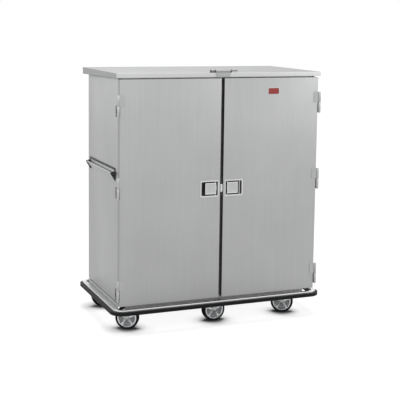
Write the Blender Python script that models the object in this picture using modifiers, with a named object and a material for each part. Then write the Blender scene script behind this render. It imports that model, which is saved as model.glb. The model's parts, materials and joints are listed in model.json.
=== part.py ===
import math

import bmesh
import bpy
from mathutils import Matrix

# Enclosed pan transport cart: a closed cabinet with two doors on six wheels.
# X is the width, the front looks to -Y, Z is up and the floor is at zero.

# fits
fit_gap = 0.0003
overrun = 0.004
full_turn = 2 * math.pi

# sheet metal
sheet = 0.002
heavy_sheet = 0.003

# wheels and casters, from the floor up
wheel_diameter = 0.1524
wheel_width = 0.050
tyre_edge_round = 0.006
tyre_depth = 0.0132
rim_depth = 0.0105
rim_width = 0.042
hub_radius = 0.019
hub_width = 0.0515
spoke_count = 5
spoke_width = 0.013
spoke_depth = 0.022
web_thickness = 0.006
wheel_segments = 28
axle_radius = 0.006
axle_head_radius = 0.0095
axle_head_height = 0.0045
fork_leg_thickness = 0.0035
fork_leg_gap = 0.0008
fork_leg_foot = 0.014
crown_half_length = 0.033
crown_thickness = 0.015
crown_clearance = 0.0036
crown_lip = 0.001
neck_half_length = 0.029
neck_half_width = 0.024
caster_trail = 0.040
lower_race_radius = 0.033
lower_race_height = 0.0067
upper_race_radius = 0.031
upper_race_height = 0.0072
kingpin_radius = 0.006
kingpin_drop = 0.004
caster_plate_length = 0.092
caster_plate_depth = 0.067
caster_plate_thickness = 0.0045
caster_plate_round = 0.008
race_segments = 24
pin_segments = 16
caster_inset_x = 0.127
caster_front_inset = 0.065
caster_back_inset = 0.038
front_heading = math.radians(152.3)
rear_left_heading = math.radians(180)
rear_right_heading = math.radians(170)

# cabinet box
wall_half_width = 0.682
wall_depth = 0.665
wall_middle = -0.0065
wall_height = 1.4487
panel_fold = 0.020
seam_height = 0.006
seam_recess = 0.006

# chassis
rail_step = 0.022
apron_drop = 0.036
apron_front_inset = 0.052
apron_back_inset = 0.182
channel_width = 0.050
channel_depth = 0.025
channel_end_gap = 0.012
tie_half_width = 0.020
deck_inset = 0.003

# bumper
rail_past_sides = 0.036
rail_past_front = 0.071
rail_height = 0.035
rail_sheet = 0.0025
rail_flange = 0.026
rail_round = 0.065
rail_round_segments = 6
bumper_below_rail_top = 0.010
bumper_height = 0.023
bumper_depth = 0.017
bumper_rib_step = 0.0045
bumper_rib_dip = 0.004

# top cap
cap_past_sides = 0.025
cap_past_front = 0.044
cap_side_flange = 0.045
cap_front_flange = 0.029
cap_edge_round = 0.003
small_round_segments = 2

# face frame
frame_depth = 0.025
header_height = 0.0725
sill_height = 0.036
stile_width = 0.0217
mullion_half = 0.030

# partition and pan slides
partition_thickness = 0.003
ledge_count = 12
ledge_past_opening = 0.018
slide_end_space = 0.030
slide_end_margin = 0.045

# doors
door_half_gap = 0.0105
door_past_wall = 0.004
door_thickness = 0.044
door_stand_off = 0.004
door_below_wall = 0.013
door_cap_gap = 0.008
door_edge_round = 0.0022
liner_depth = 0.010
gasket_width = 0.012
gasket_overlap = 0.0035

# hinges
hinge_axis_past_door = 0.011
hinge_axis_forward = 0.003
hinge_radius = 0.008
hinge_pin_radius = 0.004
hinge_length = 0.138
hinge_height_shares = (0.0715, 0.5263, 0.8844)
hinge_leaf_reach = 0.030
hinge_leaf_thickness = 0.0035
hinge_leaf_sink = 0.0006
hinge_strap_thickness = 0.0025
hinge_strap_door_gap = 0.0025
hinge_pad_length = 0.020
hinge_pad_start = 0.003
hinge_segments = 20

# paddle latches
latch_height_share = 0.5045
bezel_inner_x = 0.019
bezel_width = 0.130
bezel_height = 0.107
bezel_border = 0.009
bezel_thickness = 0.002
bezel_round = 0.004
cup_wall = 0.002
cup_depth = 0.028
paddle_width = 0.076
paddle_height = 0.074
paddle_thickness = 0.004
paddle_inner_gap = 0.010
paddle_proud = 0.0012
paddle_round = 0.0014
paddle_rod_radius = 0.0025
paddle_rod_inset = 0.003
paddle_rod_sink = 0.0020
bolt_length = 0.036
bolt_depth = 0.008
bolt_height = 0.030
bolt_set_back = 0.015
bolt_nose = 0.0012

# strike on the mullion
strike_half_width = 0.009
strike_half_height = 0.060
strike_thickness = 0.0025
nose_half_width = 0.0085
nose_half_height = 0.0265
nose_length = 0.044
nose_round = 0.0075
nose_segments = 4

# transport latch on the cap
flip_half_width = 0.0515
flip_length = 0.1005
flip_thickness = 0.003
flip_knuckle_radius = 0.0068
flip_pin_radius = 0.0035
flip_door_gap = 0.0008
flip_rest_gap = 0.0012
flip_round = 0.005
bracket_thickness = 0.0012
bracket_lip_half_width = 0.050
bracket_lip_thickness = 0.002
bracket_depth = 0.040
ear_thickness = 0.004
ear_half_depth = 0.0105
ear_rise = 0.0085
ear_round = 0.008
ear_gap = 0.0015
outer_ear_step = 0.0315
pin_tail = 0.046

# push handles
handle_end_inset = 0.041
handle_top_share = 0.5888
handle_strip_height = 0.013
handle_end_rise = 0.006
handle_strip_thickness = 0.004
handle_end_width = 0.014
handle_reach = 0.030
handle_nose_below_top = 0.026
handle_nose_height = 0.009
handle_drop = 0.083
grip_back_drop = 0.067
grip_lip_radius = 0.0045
grip_sheet = 0.002

# blank name plate
plate_past_door_middle = 0.00975
plate_centre_below_door_top = 0.0645
plate_width = 0.080
plate_height = 0.044
plate_thickness = 0.002
plate_round = 0.009
plate_segments = 4

# sizes that follow
wall_front = wall_middle - wall_depth / 2
wall_back = wall_middle + wall_depth / 2
wheel_radius = wheel_diameter / 2
crown_bottom = wheel_diameter + crown_clearance
crown_top = crown_bottom + crown_thickness
lower_race_top = crown_top + lower_race_height
upper_race_bottom = lower_race_top + fit_gap
caster_plate_bottom = upper_race_bottom + upper_race_height
caster_plate_top = caster_plate_bottom + caster_plate_thickness
chassis_bottom = caster_plate_top + fit_gap
chassis_top = chassis_bottom + heavy_sheet
wall_bottom = chassis_top + seam_height
wall_top = wall_bottom + wall_height
cap_top = wall_top + fit_gap + sheet
rail_top = chassis_bottom - rail_step
rail_bottom = rail_top - rail_height
deck_top = rail_top - rail_sheet - fit_gap
deck_bottom = deck_top - heavy_sheet
door_bottom = wall_bottom - door_below_wall
door_top = cap_top - cap_front_flange - door_cap_gap
door_height = door_top - door_bottom
door_back = wall_front - door_stand_off
door_front = door_back - door_thickness
hinge_axis_y = door_front - hinge_axis_forward
latch_z = door_bottom + door_height * latch_height_share
opening_bottom = wall_bottom + sill_height
opening_top = wall_top - header_height
rail_half_length = wall_half_width + rail_past_sides
rail_half_width = rail_past_front - wall_front
cap_half_width = wall_half_width + cap_past_sides
cap_half_depth = cap_past_front - wall_front
swivel_x = wall_half_width - caster_inset_x
caster_front_y = wall_front + caster_front_inset
caster_back_y = wall_back - caster_back_inset
channel_x = swivel_x / 2
door_outer_x = wall_half_width + door_past_wall
hinge_axis_x = door_outer_x + hinge_axis_past_door
hinge_strap_inner_x = door_outer_x + hinge_strap_door_gap
handle_half_length = wall_back - handle_end_inset
plate_centre_x = (door_half_gap + door_outer_x) / 2 + plate_past_door_middle
panel_inner_x = wall_half_width - panel_fold
frame_half_width = panel_inner_x - fit_gap
opening_outer_x = frame_half_width - stile_width
frame_back = wall_front + frame_depth


def make_material(name, colour, roughness, metallic):
    material = bpy.data.materials.new(name)
    material.use_nodes = True
    shader = material.node_tree.nodes["Principled BSDF"]
    shader.inputs["Base Color"].default_value = (*colour, 1)
    shader.inputs["Roughness"].default_value = roughness
    shader.inputs["Metallic"].default_value = metallic
    return material


def clear_scene():
    for item in list(bpy.data.objects):
        bpy.data.objects.remove(item, do_unlink=True)


def new_object(name, mesh, matrix, collection):
    item = bpy.data.objects.new(name, mesh)
    item.matrix_world = matrix
    collection.objects.link(item)
    return item


def mesh_from(bm, name):
    mesh = bpy.data.meshes.new(name)
    bmesh.ops.recalc_face_normals(bm, faces=bm.faces)
    bm.to_mesh(mesh)
    bm.free()
    return mesh


def round_edges(bm, pick, radius, segments):
    edges = [e for e in bm.edges if pick(e.verts[0].co, e.verts[1].co)]
    bmesh.ops.bevel(
        bm, geom=edges, offset=radius, segments=segments, profile=0.5, affect="EDGES", clamp_overlap=True
    )


def block(name, x, y, z, pick=None, radius=0, segments=small_round_segments, collection=None):
    """A box between two values on each axis, with picked edges rounded."""
    size = (max(x) - min(x), max(y) - min(y), max(z) - min(z))
    centre = (sum(x) / 2, sum(y) / 2, sum(z) / 2)
    bm = bmesh.new()
    bmesh.ops.create_cube(bm, size=1, matrix=Matrix.Diagonal((*size, 1)))
    if pick:
        round_edges(bm, pick, radius, segments)
    return new_object(name, mesh_from(bm, name), Matrix.Translation(centre), collection or cutters)


def along(axis):
    """Edges that run along one axis."""
    others = [i for i in range(3) if i != axis]
    return lambda a, b: all(abs(a[i] - b[i]) < fit_gap for i in others)


def on_side(axis, sign):
    """Edges that lie in one outer face of a box."""
    return lambda a, b: a[axis] * sign > 0 and b[axis] * sign > 0 and abs(a[axis] - b[axis]) < fit_gap


def cylinder(name, radius, low, high, centre, segments, axis="Z", collection=None):
    """A round bar between two values on its axis. The centre gives the other two coordinates."""
    bm = bmesh.new()
    bmesh.ops.create_cone(
        bm, cap_ends=True, segments=segments, radius1=radius, radius2=radius, depth=high - low
    )
    middle = (low + high) / 2
    turns = {
        "X": (Matrix.Rotation(math.pi / 2, 4, "Y"), (middle, centre[0], centre[1])),
        "Y": (Matrix.Rotation(math.pi / 2, 4, "X"), (centre[0], middle, centre[1])),
        "Z": (Matrix.Identity(4), (centre[0], centre[1], middle)),
    }
    turn, place = turns[axis]
    bmesh.ops.transform(bm, matrix=turn, verts=bm.verts)
    return new_object(name, mesh_from(bm, name), Matrix.Translation(place), collection or cutters)


def flat_shape(name, outline, low, high, collection=None):
    """A flat outline in X and Z, given its thickness along Y between two values."""
    curve = bpy.data.curves.new(name, "CURVE")
    curve.dimensions = "2D"
    curve.fill_mode = "BOTH"
    curve.extrude = (high - low) / 2
    spline = curve.splines.new("POLY")
    spline.points.add(len(outline) - 1)
    for point, (x, z) in zip(spline.points, outline):
        point.co = (x, z, 0, 1)
    spline.use_cyclic_u = True
    holder = new_object(name, curve, Matrix.Identity(4), cutters)
    bm = bmesh.new()
    bm.from_mesh(evaluated_mesh(holder))
    bpy.data.objects.remove(holder)
    bmesh.ops.remove_doubles(bm, verts=bm.verts, dist=fit_gap / 10)
    bmesh.ops.transform(bm, matrix=Matrix.Rotation(math.pi / 2, 4, "X"), verts=bm.verts)
    place = Matrix.Translation((0, (low + high) / 2, 0))
    return new_object(name, mesh_from(bm, name), place, collection or cutters)


def evaluated_mesh(item):
    bpy.context.view_layer.update()
    return bpy.data.meshes.new_from_object(item.evaluated_get(bpy.context.evaluated_depsgraph_get()))


def combine(item, tools, operation):
    for tool in tools:
        step = item.modifiers.new(tool.name, "BOOLEAN")
        step.operation = operation
        step.solver = "EXACT"
        step.object = tool
        tool.display_type = "WIRE"
        tool.hide_render = True


def unite(item, *tools):
    combine(item, tools, "UNION")


def cut(item, *tools):
    combine(item, tools, "DIFFERENCE")


def settle(item):
    """Keep the result of the modifiers as the mesh, and drop the tools."""
    mesh = evaluated_mesh(item)
    tools = [step.object for step in item.modifiers if step.type == "BOOLEAN"]
    item.modifiers.clear()
    item.data = mesh
    for tool in tools:
        bpy.data.objects.remove(tool)
    return item


def place_copy(name, source, matrix, material, parent=None):
    copy = bpy.data.objects.new(name, source.data)
    cart.objects.link(copy)
    copy.matrix_world = matrix
    finish(copy, material, parent)
    return copy


def finish(item, material, parent=None):
    """Give a piece its material, smooth its round faces and hang it on its axis."""
    item.data.materials.clear()
    item.data.materials.append(material)
    item.data.shade_smooth()
    item.data.set_sharp_from_angle(angle=math.radians(30))
    if parent:
        item.parent = parent
        item.matrix_parent_inverse = Matrix.Translation(parent.location).inverted()


def axis_mark(name, place):
    mark = bpy.data.objects.new(name, None)
    mark.location = place
    cart.objects.link(mark)
    bpy.context.view_layer.update()
    return mark


def span(side, first, second):
    """Two distances from the middle, on the left (-1) or right (1) side, low value first."""
    return tuple(sorted((side * first, side * second)))


def open_tray(name, x, y, z, thickness, open_axis, open_sign, collection):
    """A folded sheet tray: a box with one side open and walls of one thickness."""
    tray = block(name, x, y, z, collection=collection)
    ranges = [list(x), list(y), list(z)]
    for axis, values in enumerate(ranges):
        values[0] += thickness
        values[1] -= thickness
        if axis == open_axis:
            end = 1 if open_sign > 0 else 0
            values[end] += open_sign * (thickness + overrun)
    cut(tray, block(name + "_inside", *ranges))
    return tray


def make_chassis():
    chassis = block(
        "base_chassis",
        (-wall_half_width, wall_half_width),
        (wall_front, wall_back),
        (chassis_bottom, chassis_top),
        collection=cart,
    )
    additions = []
    deck_outer = rail_half_length - deck_inset
    for side in (-1, 1):
        additions.append(
            block(
                "side_skirt",
                span(side, wall_half_width - heavy_sheet, wall_half_width),
                (wall_front, wall_back),
                (deck_bottom, chassis_top),
            )
        )
        additions.append(
            block(
                "side_deck",
                span(side, wall_half_width - heavy_sheet, deck_outer),
                (wall_front, wall_back),
                (deck_bottom, deck_top),
            )
        )
        channel = block(
            "cross_channel",
            span(side, channel_x - channel_width / 2, channel_x + channel_width / 2),
            (wall_front + channel_end_gap, wall_back - channel_end_gap),
            (chassis_bottom - channel_depth, chassis_bottom + heavy_sheet / 2),
        )
        additions.append(channel)
    aprons = (
        (wall_front, 1, wall_half_width - apron_front_inset),
        (wall_back, -1, wall_half_width - apron_back_inset),
    )
    for edge, inward, half in aprons:
        additions.append(
            block(
                "apron",
                (-half, half),
                tuple(sorted((edge, edge + inward * heavy_sheet))),
                (chassis_bottom - apron_drop, chassis_top),
            )
        )
        tie_end = -inward * (rail_half_width - rail_sheet - deck_inset)
        additions.append(
            block(
                "centre_tie",
                (-tie_half_width, tie_half_width),
                tuple(sorted((edge + inward * heavy_sheet, tie_end))),
                (deck_bottom, deck_top),
            )
        )
    unite(chassis, *additions)
    hollow = []
    for side in (-1, 1):
        half = channel_width / 2 - heavy_sheet
        hollow.append(
            block(
                "channel_inside",
                span(side, channel_x - half, channel_x + half),
                (wall_front + channel_end_gap - overrun, wall_back - channel_end_gap + overrun),
                (chassis_bottom - channel_depth + heavy_sheet, chassis_bottom),
            )
        )
    cut(chassis, *hollow)
    finish(settle(chassis), steel_dark)

    floor = open_tray(
        "cabinet_floor",
        (-wall_half_width + seam_recess, wall_half_width - seam_recess),
        (wall_front + seam_recess, wall_back - seam_recess),
        (chassis_top + fit_gap, wall_bottom - fit_gap),
        sheet,
        2,
        -1,
        cart,
    )
    finish(settle(floor), steel_dark)


def ring_block(name, grow, low, high, collection=None):
    """A rounded rectangle round the base, grown outwards from the rail's outer face."""
    return block(
        name,
        (-rail_half_length - grow, rail_half_length + grow),
        (-rail_half_width - grow, rail_half_width + grow),
        (low, high),
        along(2),
        rail_round + grow,
        rail_round_segments,
        collection,
    )


def make_bumper():
    rail = ring_block("bumper_rail", 0, rail_bottom, rail_top, cart)
    cut(
        rail,
        ring_block("rail_hollow", -rail_sheet, rail_bottom + rail_sheet, rail_top - rail_sheet),
        ring_block("rail_opening", -rail_flange, rail_bottom - overrun, rail_top + overrun),
    )
    finish(settle(rail), steel_bright)

    top = rail_top - bumper_below_rail_top
    middle = top - bumper_height / 2
    lip = bumper_depth - bumper_rib_dip
    profile = (
        (fit_gap, top),
        (lip, top),
        (bumper_depth, top - bumper_rib_step),
        (lip, middle + bumper_rib_step / 2),
        (bumper_depth - bumper_rib_dip / 2, middle),
        (lip, middle - bumper_rib_step / 2),
        (bumper_depth, top - bumper_height + bumper_rib_step),
        (lip, top - bumper_height),
        (fit_gap, top - bumper_height),
    )
    bm = bmesh.new()
    rings = []
    for grow, height in profile:
        ring = []
        for corner_x, corner_y, start in ((1, 1, 0), (-1, 1, 1), (-1, -1, 2), (1, -1, 3)):
            for step in range(rail_round_segments + 1):
                angle = math.pi / 2 * (start + step / rail_round_segments)
                reach = rail_round + grow
                x = corner_x * (rail_half_length - rail_round) + math.cos(angle) * reach
                y = corner_y * (rail_half_width - rail_round) + math.sin(angle) * reach
                ring.append(bm.verts.new((x, y, height)))
        rings.append(ring)
    for ring, after in zip(rings, rings[1:] + rings[:1]):
        for i, vert in enumerate(ring):
            following = (i + 1) % len(ring)
            bm.faces.new((vert, ring[following], after[following], after[i]))
    vinyl = new_object("bumper_vinyl", mesh_from(bm, "bumper_vinyl"), Matrix.Identity(4), cart)
    finish(vinyl, black_vinyl)


def make_walls():
    for side, label in sides:
        panel = open_tray(
            "side_panel_" + label,
            span(side, panel_inner_x, wall_half_width),
            (wall_front, wall_back),
            (wall_bottom, wall_top),
            sheet,
            0,
            -side,
            cart,
        )
        finish(settle(panel), steel_brushed)
    back = open_tray(
        "back_panel",
        (-frame_half_width, frame_half_width),
        (wall_back - panel_fold, wall_back),
        (wall_bottom, wall_top),
        sheet,
        1,
        -1,
        cart,
    )
    finish(settle(back), steel_brushed)


def make_cap():
    cap = block(
        "top_cap",
        (-cap_half_width, cap_half_width),
        (-cap_half_depth, cap_half_depth),
        (cap_top - cap_side_flange, cap_top),
        lambda a, b: on_side(2, 1)(a, b) or along(2)(a, b),
        cap_edge_round,
        small_round_segments,
        cart,
    )
    inner_x = cap_half_width - sheet
    inner_y = cap_half_depth - sheet
    inside = block(
        "cap_inside",
        (-inner_x, inner_x),
        (-inner_y, inner_y),
        (cap_top - cap_side_flange - overrun, cap_top - sheet),
        lambda a, b: on_side(2, 1)(a, b) or along(2)(a, b),
        cap_edge_round - sheet,
        small_round_segments,
    )
    front_low = block(
        "cap_front_low",
        (-inner_x, inner_x),
        (-cap_half_depth - overrun, -inner_y + overrun),
        (cap_top - cap_side_flange - overrun, cap_top - cap_front_flange),
    )
    cut(cap, inside, front_low)
    finish(settle(cap), steel_brushed)


def make_face_frame():
    frame = block(
        "face_frame",
        (-frame_half_width, frame_half_width),
        (wall_front, frame_back),
        (wall_bottom, wall_top),
        collection=cart,
    )
    through = (wall_front - overrun, frame_back + overrun)
    hollow = (wall_front + sheet, frame_back + overrun)
    cuts = []
    for side, label in sides:
        cuts.append(
            block(
                "opening_" + label,
                span(side, mullion_half, opening_outer_x),
                through,
                (opening_bottom, opening_top),
            )
        )
        cuts.append(
            block(
                "stile_hollow",
                span(side, opening_outer_x + sheet, frame_half_width - sheet),
                hollow,
                (wall_bottom + sheet, wall_top - sheet),
            )
        )
    wide = frame_half_width - sheet
    cuts.append(block("header_hollow", (-wide, wide), hollow, (opening_top + sheet, wall_top - sheet)))
    cuts.append(block("sill_hollow", (-wide, wide), hollow, (wall_bottom + sheet, opening_bottom - sheet)))
    cuts.append(
        block(
            "mullion_hollow",
            (-mullion_half + sheet, mullion_half - sheet),
            hollow,
            (wall_bottom + sheet, wall_top - sheet),
        )
    )
    cut(frame, *cuts)
    finish(settle(frame), steel_brushed)


def ledge_heights():
    low = opening_bottom + slide_end_margin
    high = opening_top - slide_end_margin
    return [low + (high - low) * i / (ledge_count - 1) for i in range(ledge_count)]


def unite_ledges(rack, x, y):
    unite(rack, *[block("ledge", x, y, (height - sheet, height)) for height in ledge_heights()])


def make_racks():
    interior = (frame_back + fit_gap, wall_back - panel_fold - fit_gap)
    slide_y = (interior[0] + slide_end_space, interior[1] - slide_end_space)
    half = partition_thickness / 2
    reach = mullion_half + ledge_past_opening
    partition = block(
        "centre_partition", (-half, half), interior, (wall_bottom, wall_top - fit_gap), collection=cart
    )
    unite_ledges(partition, (-reach, reach), slide_y)
    finish(settle(partition), steel_brushed)
    back_x = wall_half_width - sheet - fit_gap
    tip_x = opening_outer_x - ledge_past_opening
    heights = (wall_bottom + sheet + fit_gap, wall_top - sheet - fit_gap)
    for side, label in sides:
        plate_x = span(side, back_x - sheet, back_x)
        rack = block("pan_slide_" + label, plate_x, slide_y, heights, collection=cart)
        unite_ledges(rack, span(side, back_x - sheet / 2, tip_x), slide_y)
        finish(settle(rack), steel_brushed)


def hinge_heights():
    return [door_bottom + door_height * share for share in hinge_height_shares]


def make_doors():
    for side, label in sides:
        axis = axis_mark("door_axis_" + label, (side * hinge_axis_x, hinge_axis_y, 0))
        door_x = span(side, door_half_gap, door_outer_x)
        shell = block(
            "door_shell_" + label,
            door_x,
            (door_front, door_back),
            (door_bottom, door_top),
            on_side(1, -1),
            door_edge_round,
            small_round_segments,
            cart,
        )
        inside_x = (door_x[0] + sheet, door_x[1] - sheet)
        inside_z = (door_bottom + sheet, door_top - sheet)
        cup_outer = bezel_inner_x + bezel_width - bezel_border + cup_wall
        cup_inner = bezel_inner_x + bezel_border - cup_wall
        cup_half = bezel_height / 2 - bezel_border + cup_wall
        cut(
            shell,
            block("shell_inside", inside_x, (door_front + sheet, door_back + overrun), inside_z),
            block(
                "latch_window",
                span(side, cup_inner - fit_gap, cup_outer + fit_gap),
                (door_front - overrun, door_front + sheet + overrun),
                (latch_z - cup_half - fit_gap, latch_z + cup_half + fit_gap),
            ),
            bolt_block(
                "bolt_window", side, door_half_gap - overrun, door_half_gap + sheet + overrun, fit_gap
            ),
        )
        for height in hinge_heights():
            top = height + hinge_length / 2
            leaf = block(
                "door_leaf",
                span(side, door_outer_x - hinge_leaf_reach, hinge_axis_x),
                (door_front + hinge_leaf_sink - hinge_leaf_thickness, door_front + hinge_leaf_sink),
                (height, top),
            )
            barrel = cylinder(
                "door_barrel", hinge_radius, height, top, (side * hinge_axis_x, hinge_axis_y), hinge_segments
            )
            unite(shell, leaf, barrel)
            cut(
                shell,
                cylinder(
                    "pin_bore",
                    hinge_pin_radius + fit_gap,
                    height - overrun,
                    top + overrun,
                    (side * hinge_axis_x, hinge_axis_y),
                    hinge_segments,
                ),
            )
        finish(settle(shell), steel_brushed, axis)

        liner_x = (inside_x[0] + fit_gap, inside_x[1] - fit_gap)
        liner_z = (inside_z[0] + fit_gap, inside_z[1] - fit_gap)
        liner = open_tray(
            "door_liner_" + label, liner_x, (door_back - liner_depth, door_back), liner_z, sheet, 1, -1, cart
        )
        finish(settle(liner), steel_brushed, axis)

        inner = (mullion_half - gasket_overlap, opening_outer_x + gasket_overlap)
        inner_z = (opening_bottom - gasket_overlap, opening_top + gasket_overlap)
        depth = (door_back + fit_gap, wall_front - fit_gap)
        gasket = block(
            "door_gasket_" + label,
            span(side, inner[0] - gasket_width, inner[1] + gasket_width),
            depth,
            (inner_z[0] - gasket_width, inner_z[1] + gasket_width),
            collection=cart,
        )
        through = (depth[0] - overrun, depth[1] + overrun)
        cut(gasket, block("gasket_inside", span(side, *inner), through, inner_z))
        finish(settle(gasket), black_rubber, axis)


def make_hinge_leaves():
    for side, label in sides:
        centre = (side * hinge_axis_x, hinge_axis_y)
        low = -hinge_length / 2
        strap_x = (hinge_strap_inner_x, hinge_strap_inner_x + hinge_strap_thickness)
        pad_y = (wall_front + hinge_pad_start, wall_front + hinge_pad_start + hinge_pad_length)
        leaf = cylinder("hinge_pattern", hinge_radius, low, -fit_gap, centre, hinge_segments)
        pin = cylinder(
            "hinge_pin", hinge_pin_radius, low / 2, -low - hinge_pin_radius, centre, hinge_segments
        )
        strap = block("hinge_strap", span(side, *strap_x), (hinge_axis_y, pad_y[1]), (low, -fit_gap))
        pad = block(
            "hinge_pad", span(side, wall_half_width + fit_gap, strap_x[1]), pad_y, (low, -fit_gap)
        )
        unite(leaf, pin, strap, pad)
        settle(leaf)
        for number, height in enumerate(hinge_heights(), 1):
            matrix = leaf.matrix_world.copy()
            matrix.translation.z += height
            place_copy("hinge_leaf_{}_{}".format(label, number), leaf, matrix, steel_bright)
        bpy.data.objects.remove(leaf)


def bolt_block(name, side, near, far, grow=0, collection=None):
    """A bar across the latch between two distances from the middle, grown all round."""
    front = door_front + bolt_set_back - grow
    half = bolt_height / 2 + grow
    return block(
        name,
        span(side, near, far),
        (front, front + bolt_depth + 2 * grow),
        (latch_z - half, latch_z + half),
        collection=collection,
    )


def make_latches():
    face = door_front - fit_gap
    for side, label in sides:
        door_axis = bpy.data.objects["door_axis_" + label]
        outer = bezel_inner_x + bezel_width
        hollow_x = (bezel_inner_x + bezel_border, outer - bezel_border)
        hollow_half = bezel_height / 2 - bezel_border
        cup = block(
            "latch_cup_" + label,
            span(side, bezel_inner_x, outer),
            (face - bezel_thickness, face),
            (latch_z - bezel_height / 2, latch_z + bezel_height / 2),
            along(1),
            bezel_round,
            small_round_segments,
            cart,
        )
        unite(
            cup,
            block(
                "cup_body",
                span(side, hollow_x[0] - cup_wall, hollow_x[1] + cup_wall),
                (face - bezel_thickness / 2, face + cup_depth),
                (latch_z - hollow_half - cup_wall, latch_z + hollow_half + cup_wall),
            ),
        )
        paddle_inner = hollow_x[0] + paddle_inner_gap
        paddle_front = face - bezel_thickness + paddle_proud
        rod_x = side * (paddle_inner + paddle_rod_inset)
        rod_y = paddle_front + paddle_thickness + paddle_rod_sink
        rod_half = hollow_half + cup_wall
        cut(
            cup,
            block(
                "cup_hollow",
                span(side, *hollow_x),
                (face - bezel_thickness - overrun, face + cup_depth - cup_wall),
                (latch_z - hollow_half, latch_z + hollow_half),
            ),
            bolt_block("cup_bolt_window", side, bezel_inner_x, hollow_x[0] + overrun, fit_gap),
            cylinder(
                "rod_bore",
                paddle_rod_radius + fit_gap,
                latch_z - rod_half - overrun,
                latch_z + rod_half + overrun,
                (rod_x, rod_y),
                pin_segments,
            ),
        )
        finish(settle(cup), steel_bright, door_axis)

        paddle_axis = axis_mark("paddle_axis_" + label, (rod_x, rod_y, latch_z))
        paddle = block(
            "latch_paddle_" + label,
            span(side, paddle_inner, paddle_inner + paddle_width),
            (paddle_front, paddle_front + paddle_thickness),
            (latch_z - paddle_height / 2, latch_z + paddle_height / 2),
            on_side(1, -1),
            paddle_round,
            small_round_segments,
            cart,
        )
        unite(
            paddle,
            cylinder(
                "paddle_rod",
                paddle_rod_radius,
                latch_z - rod_half,
                latch_z + rod_half,
                (rod_x, rod_y),
                pin_segments,
            ),
        )
        finish(settle(paddle), steel_bright, paddle_axis)

        tip = door_half_gap - bolt_nose
        bolt = bolt_block("latch_bolt_" + label, side, tip, tip + bolt_length, collection=cart)
        finish(bolt, steel_bright, door_axis)

    strike_back = wall_front - fit_gap
    strike = block(
        "latch_strike",
        (-strike_half_width, strike_half_width),
        (strike_back - strike_thickness, strike_back),
        (latch_z - strike_half_height, latch_z + strike_half_height),
        collection=cart,
    )
    unite(
        strike,
        block(
            "strike_nose",
            (-nose_half_width, nose_half_width),
            (strike_back - strike_thickness - nose_length, strike_back - strike_thickness / 2),
            (latch_z - nose_half_height, latch_z + nose_half_height),
            along(1),
            nose_round,
            nose_segments,
        ),
    )
    finish(settle(strike), chrome)


def make_transport_latch():
    hang_y = door_front - flip_door_gap
    pin_y = hang_y + flip_knuckle_radius - flip_thickness
    base_top = cap_top + fit_gap + bracket_thickness
    pin_z = base_top + flip_rest_gap + flip_knuckle_radius
    lip_back = -cap_half_depth - fit_gap
    ear_inner = flip_half_width + ear_gap
    bracket = block(
        "transport_latch_bracket",
        (-ear_inner - ear_thickness, ear_inner + ear_thickness),
        (lip_back - bracket_lip_thickness, lip_back + bracket_depth),
        (cap_top + fit_gap, base_top),
        collection=cart,
    )
    parts = [
        block(
            "bracket_lip",
            (-bracket_lip_half_width, bracket_lip_half_width),
            (lip_back - bracket_lip_thickness, lip_back),
            (cap_top - cap_front_flange, base_top),
        ),
        cylinder(
            "latch_pin",
            flip_pin_radius,
            -ear_inner - outer_ear_step,
            ear_inner + pin_tail,
            (pin_y, pin_z),
            hinge_segments,
            "X",
        ),
        block(
            "bracket_foot",
            (-ear_inner - outer_ear_step - ear_thickness, -ear_inner),
            (lip_back, lip_back + ear_half_depth),
            (cap_top + fit_gap, base_top),
        ),
    ]
    for start in (-ear_inner - outer_ear_step - ear_thickness, -ear_inner - ear_thickness, ear_inner):
        parts.append(
            block(
                "latch_ear",
                (start, start + ear_thickness),
                (pin_y - ear_half_depth, pin_y + ear_half_depth),
                (cap_top + fit_gap, pin_z + ear_rise),
                lambda a, b: along(0)(a, b) and on_side(2, 1)(a, b),
                ear_round,
                nose_segments,
            )
        )
    unite(bracket, *parts)
    finish(settle(bracket), steel_dark)

    axis = axis_mark("transport_latch_axis", (0, pin_y, pin_z))
    low = pin_z - flip_knuckle_radius
    plate = block(
        "transport_latch_plate",
        (-flip_half_width, flip_half_width),
        (pin_y, pin_y + flip_length),
        (low, low + flip_thickness),
        lambda a, b: along(2)(a, b) and on_side(1, 1)(a, b),
        flip_round,
        small_round_segments,
        cart,
    )
    unite(
        plate,
        cylinder(
            "knuckle",
            flip_knuckle_radius,
            -flip_half_width,
            flip_half_width,
            (pin_y, pin_z),
            hinge_segments,
            "X",
        ),
    )
    far = flip_half_width + overrun
    cut(
        plate,
        cylinder("knuckle_bore", flip_pin_radius + fit_gap, -far, far, (pin_y, pin_z), hinge_segments, "X"),
    )
    finish(settle(plate), steel_brushed, axis)


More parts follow.
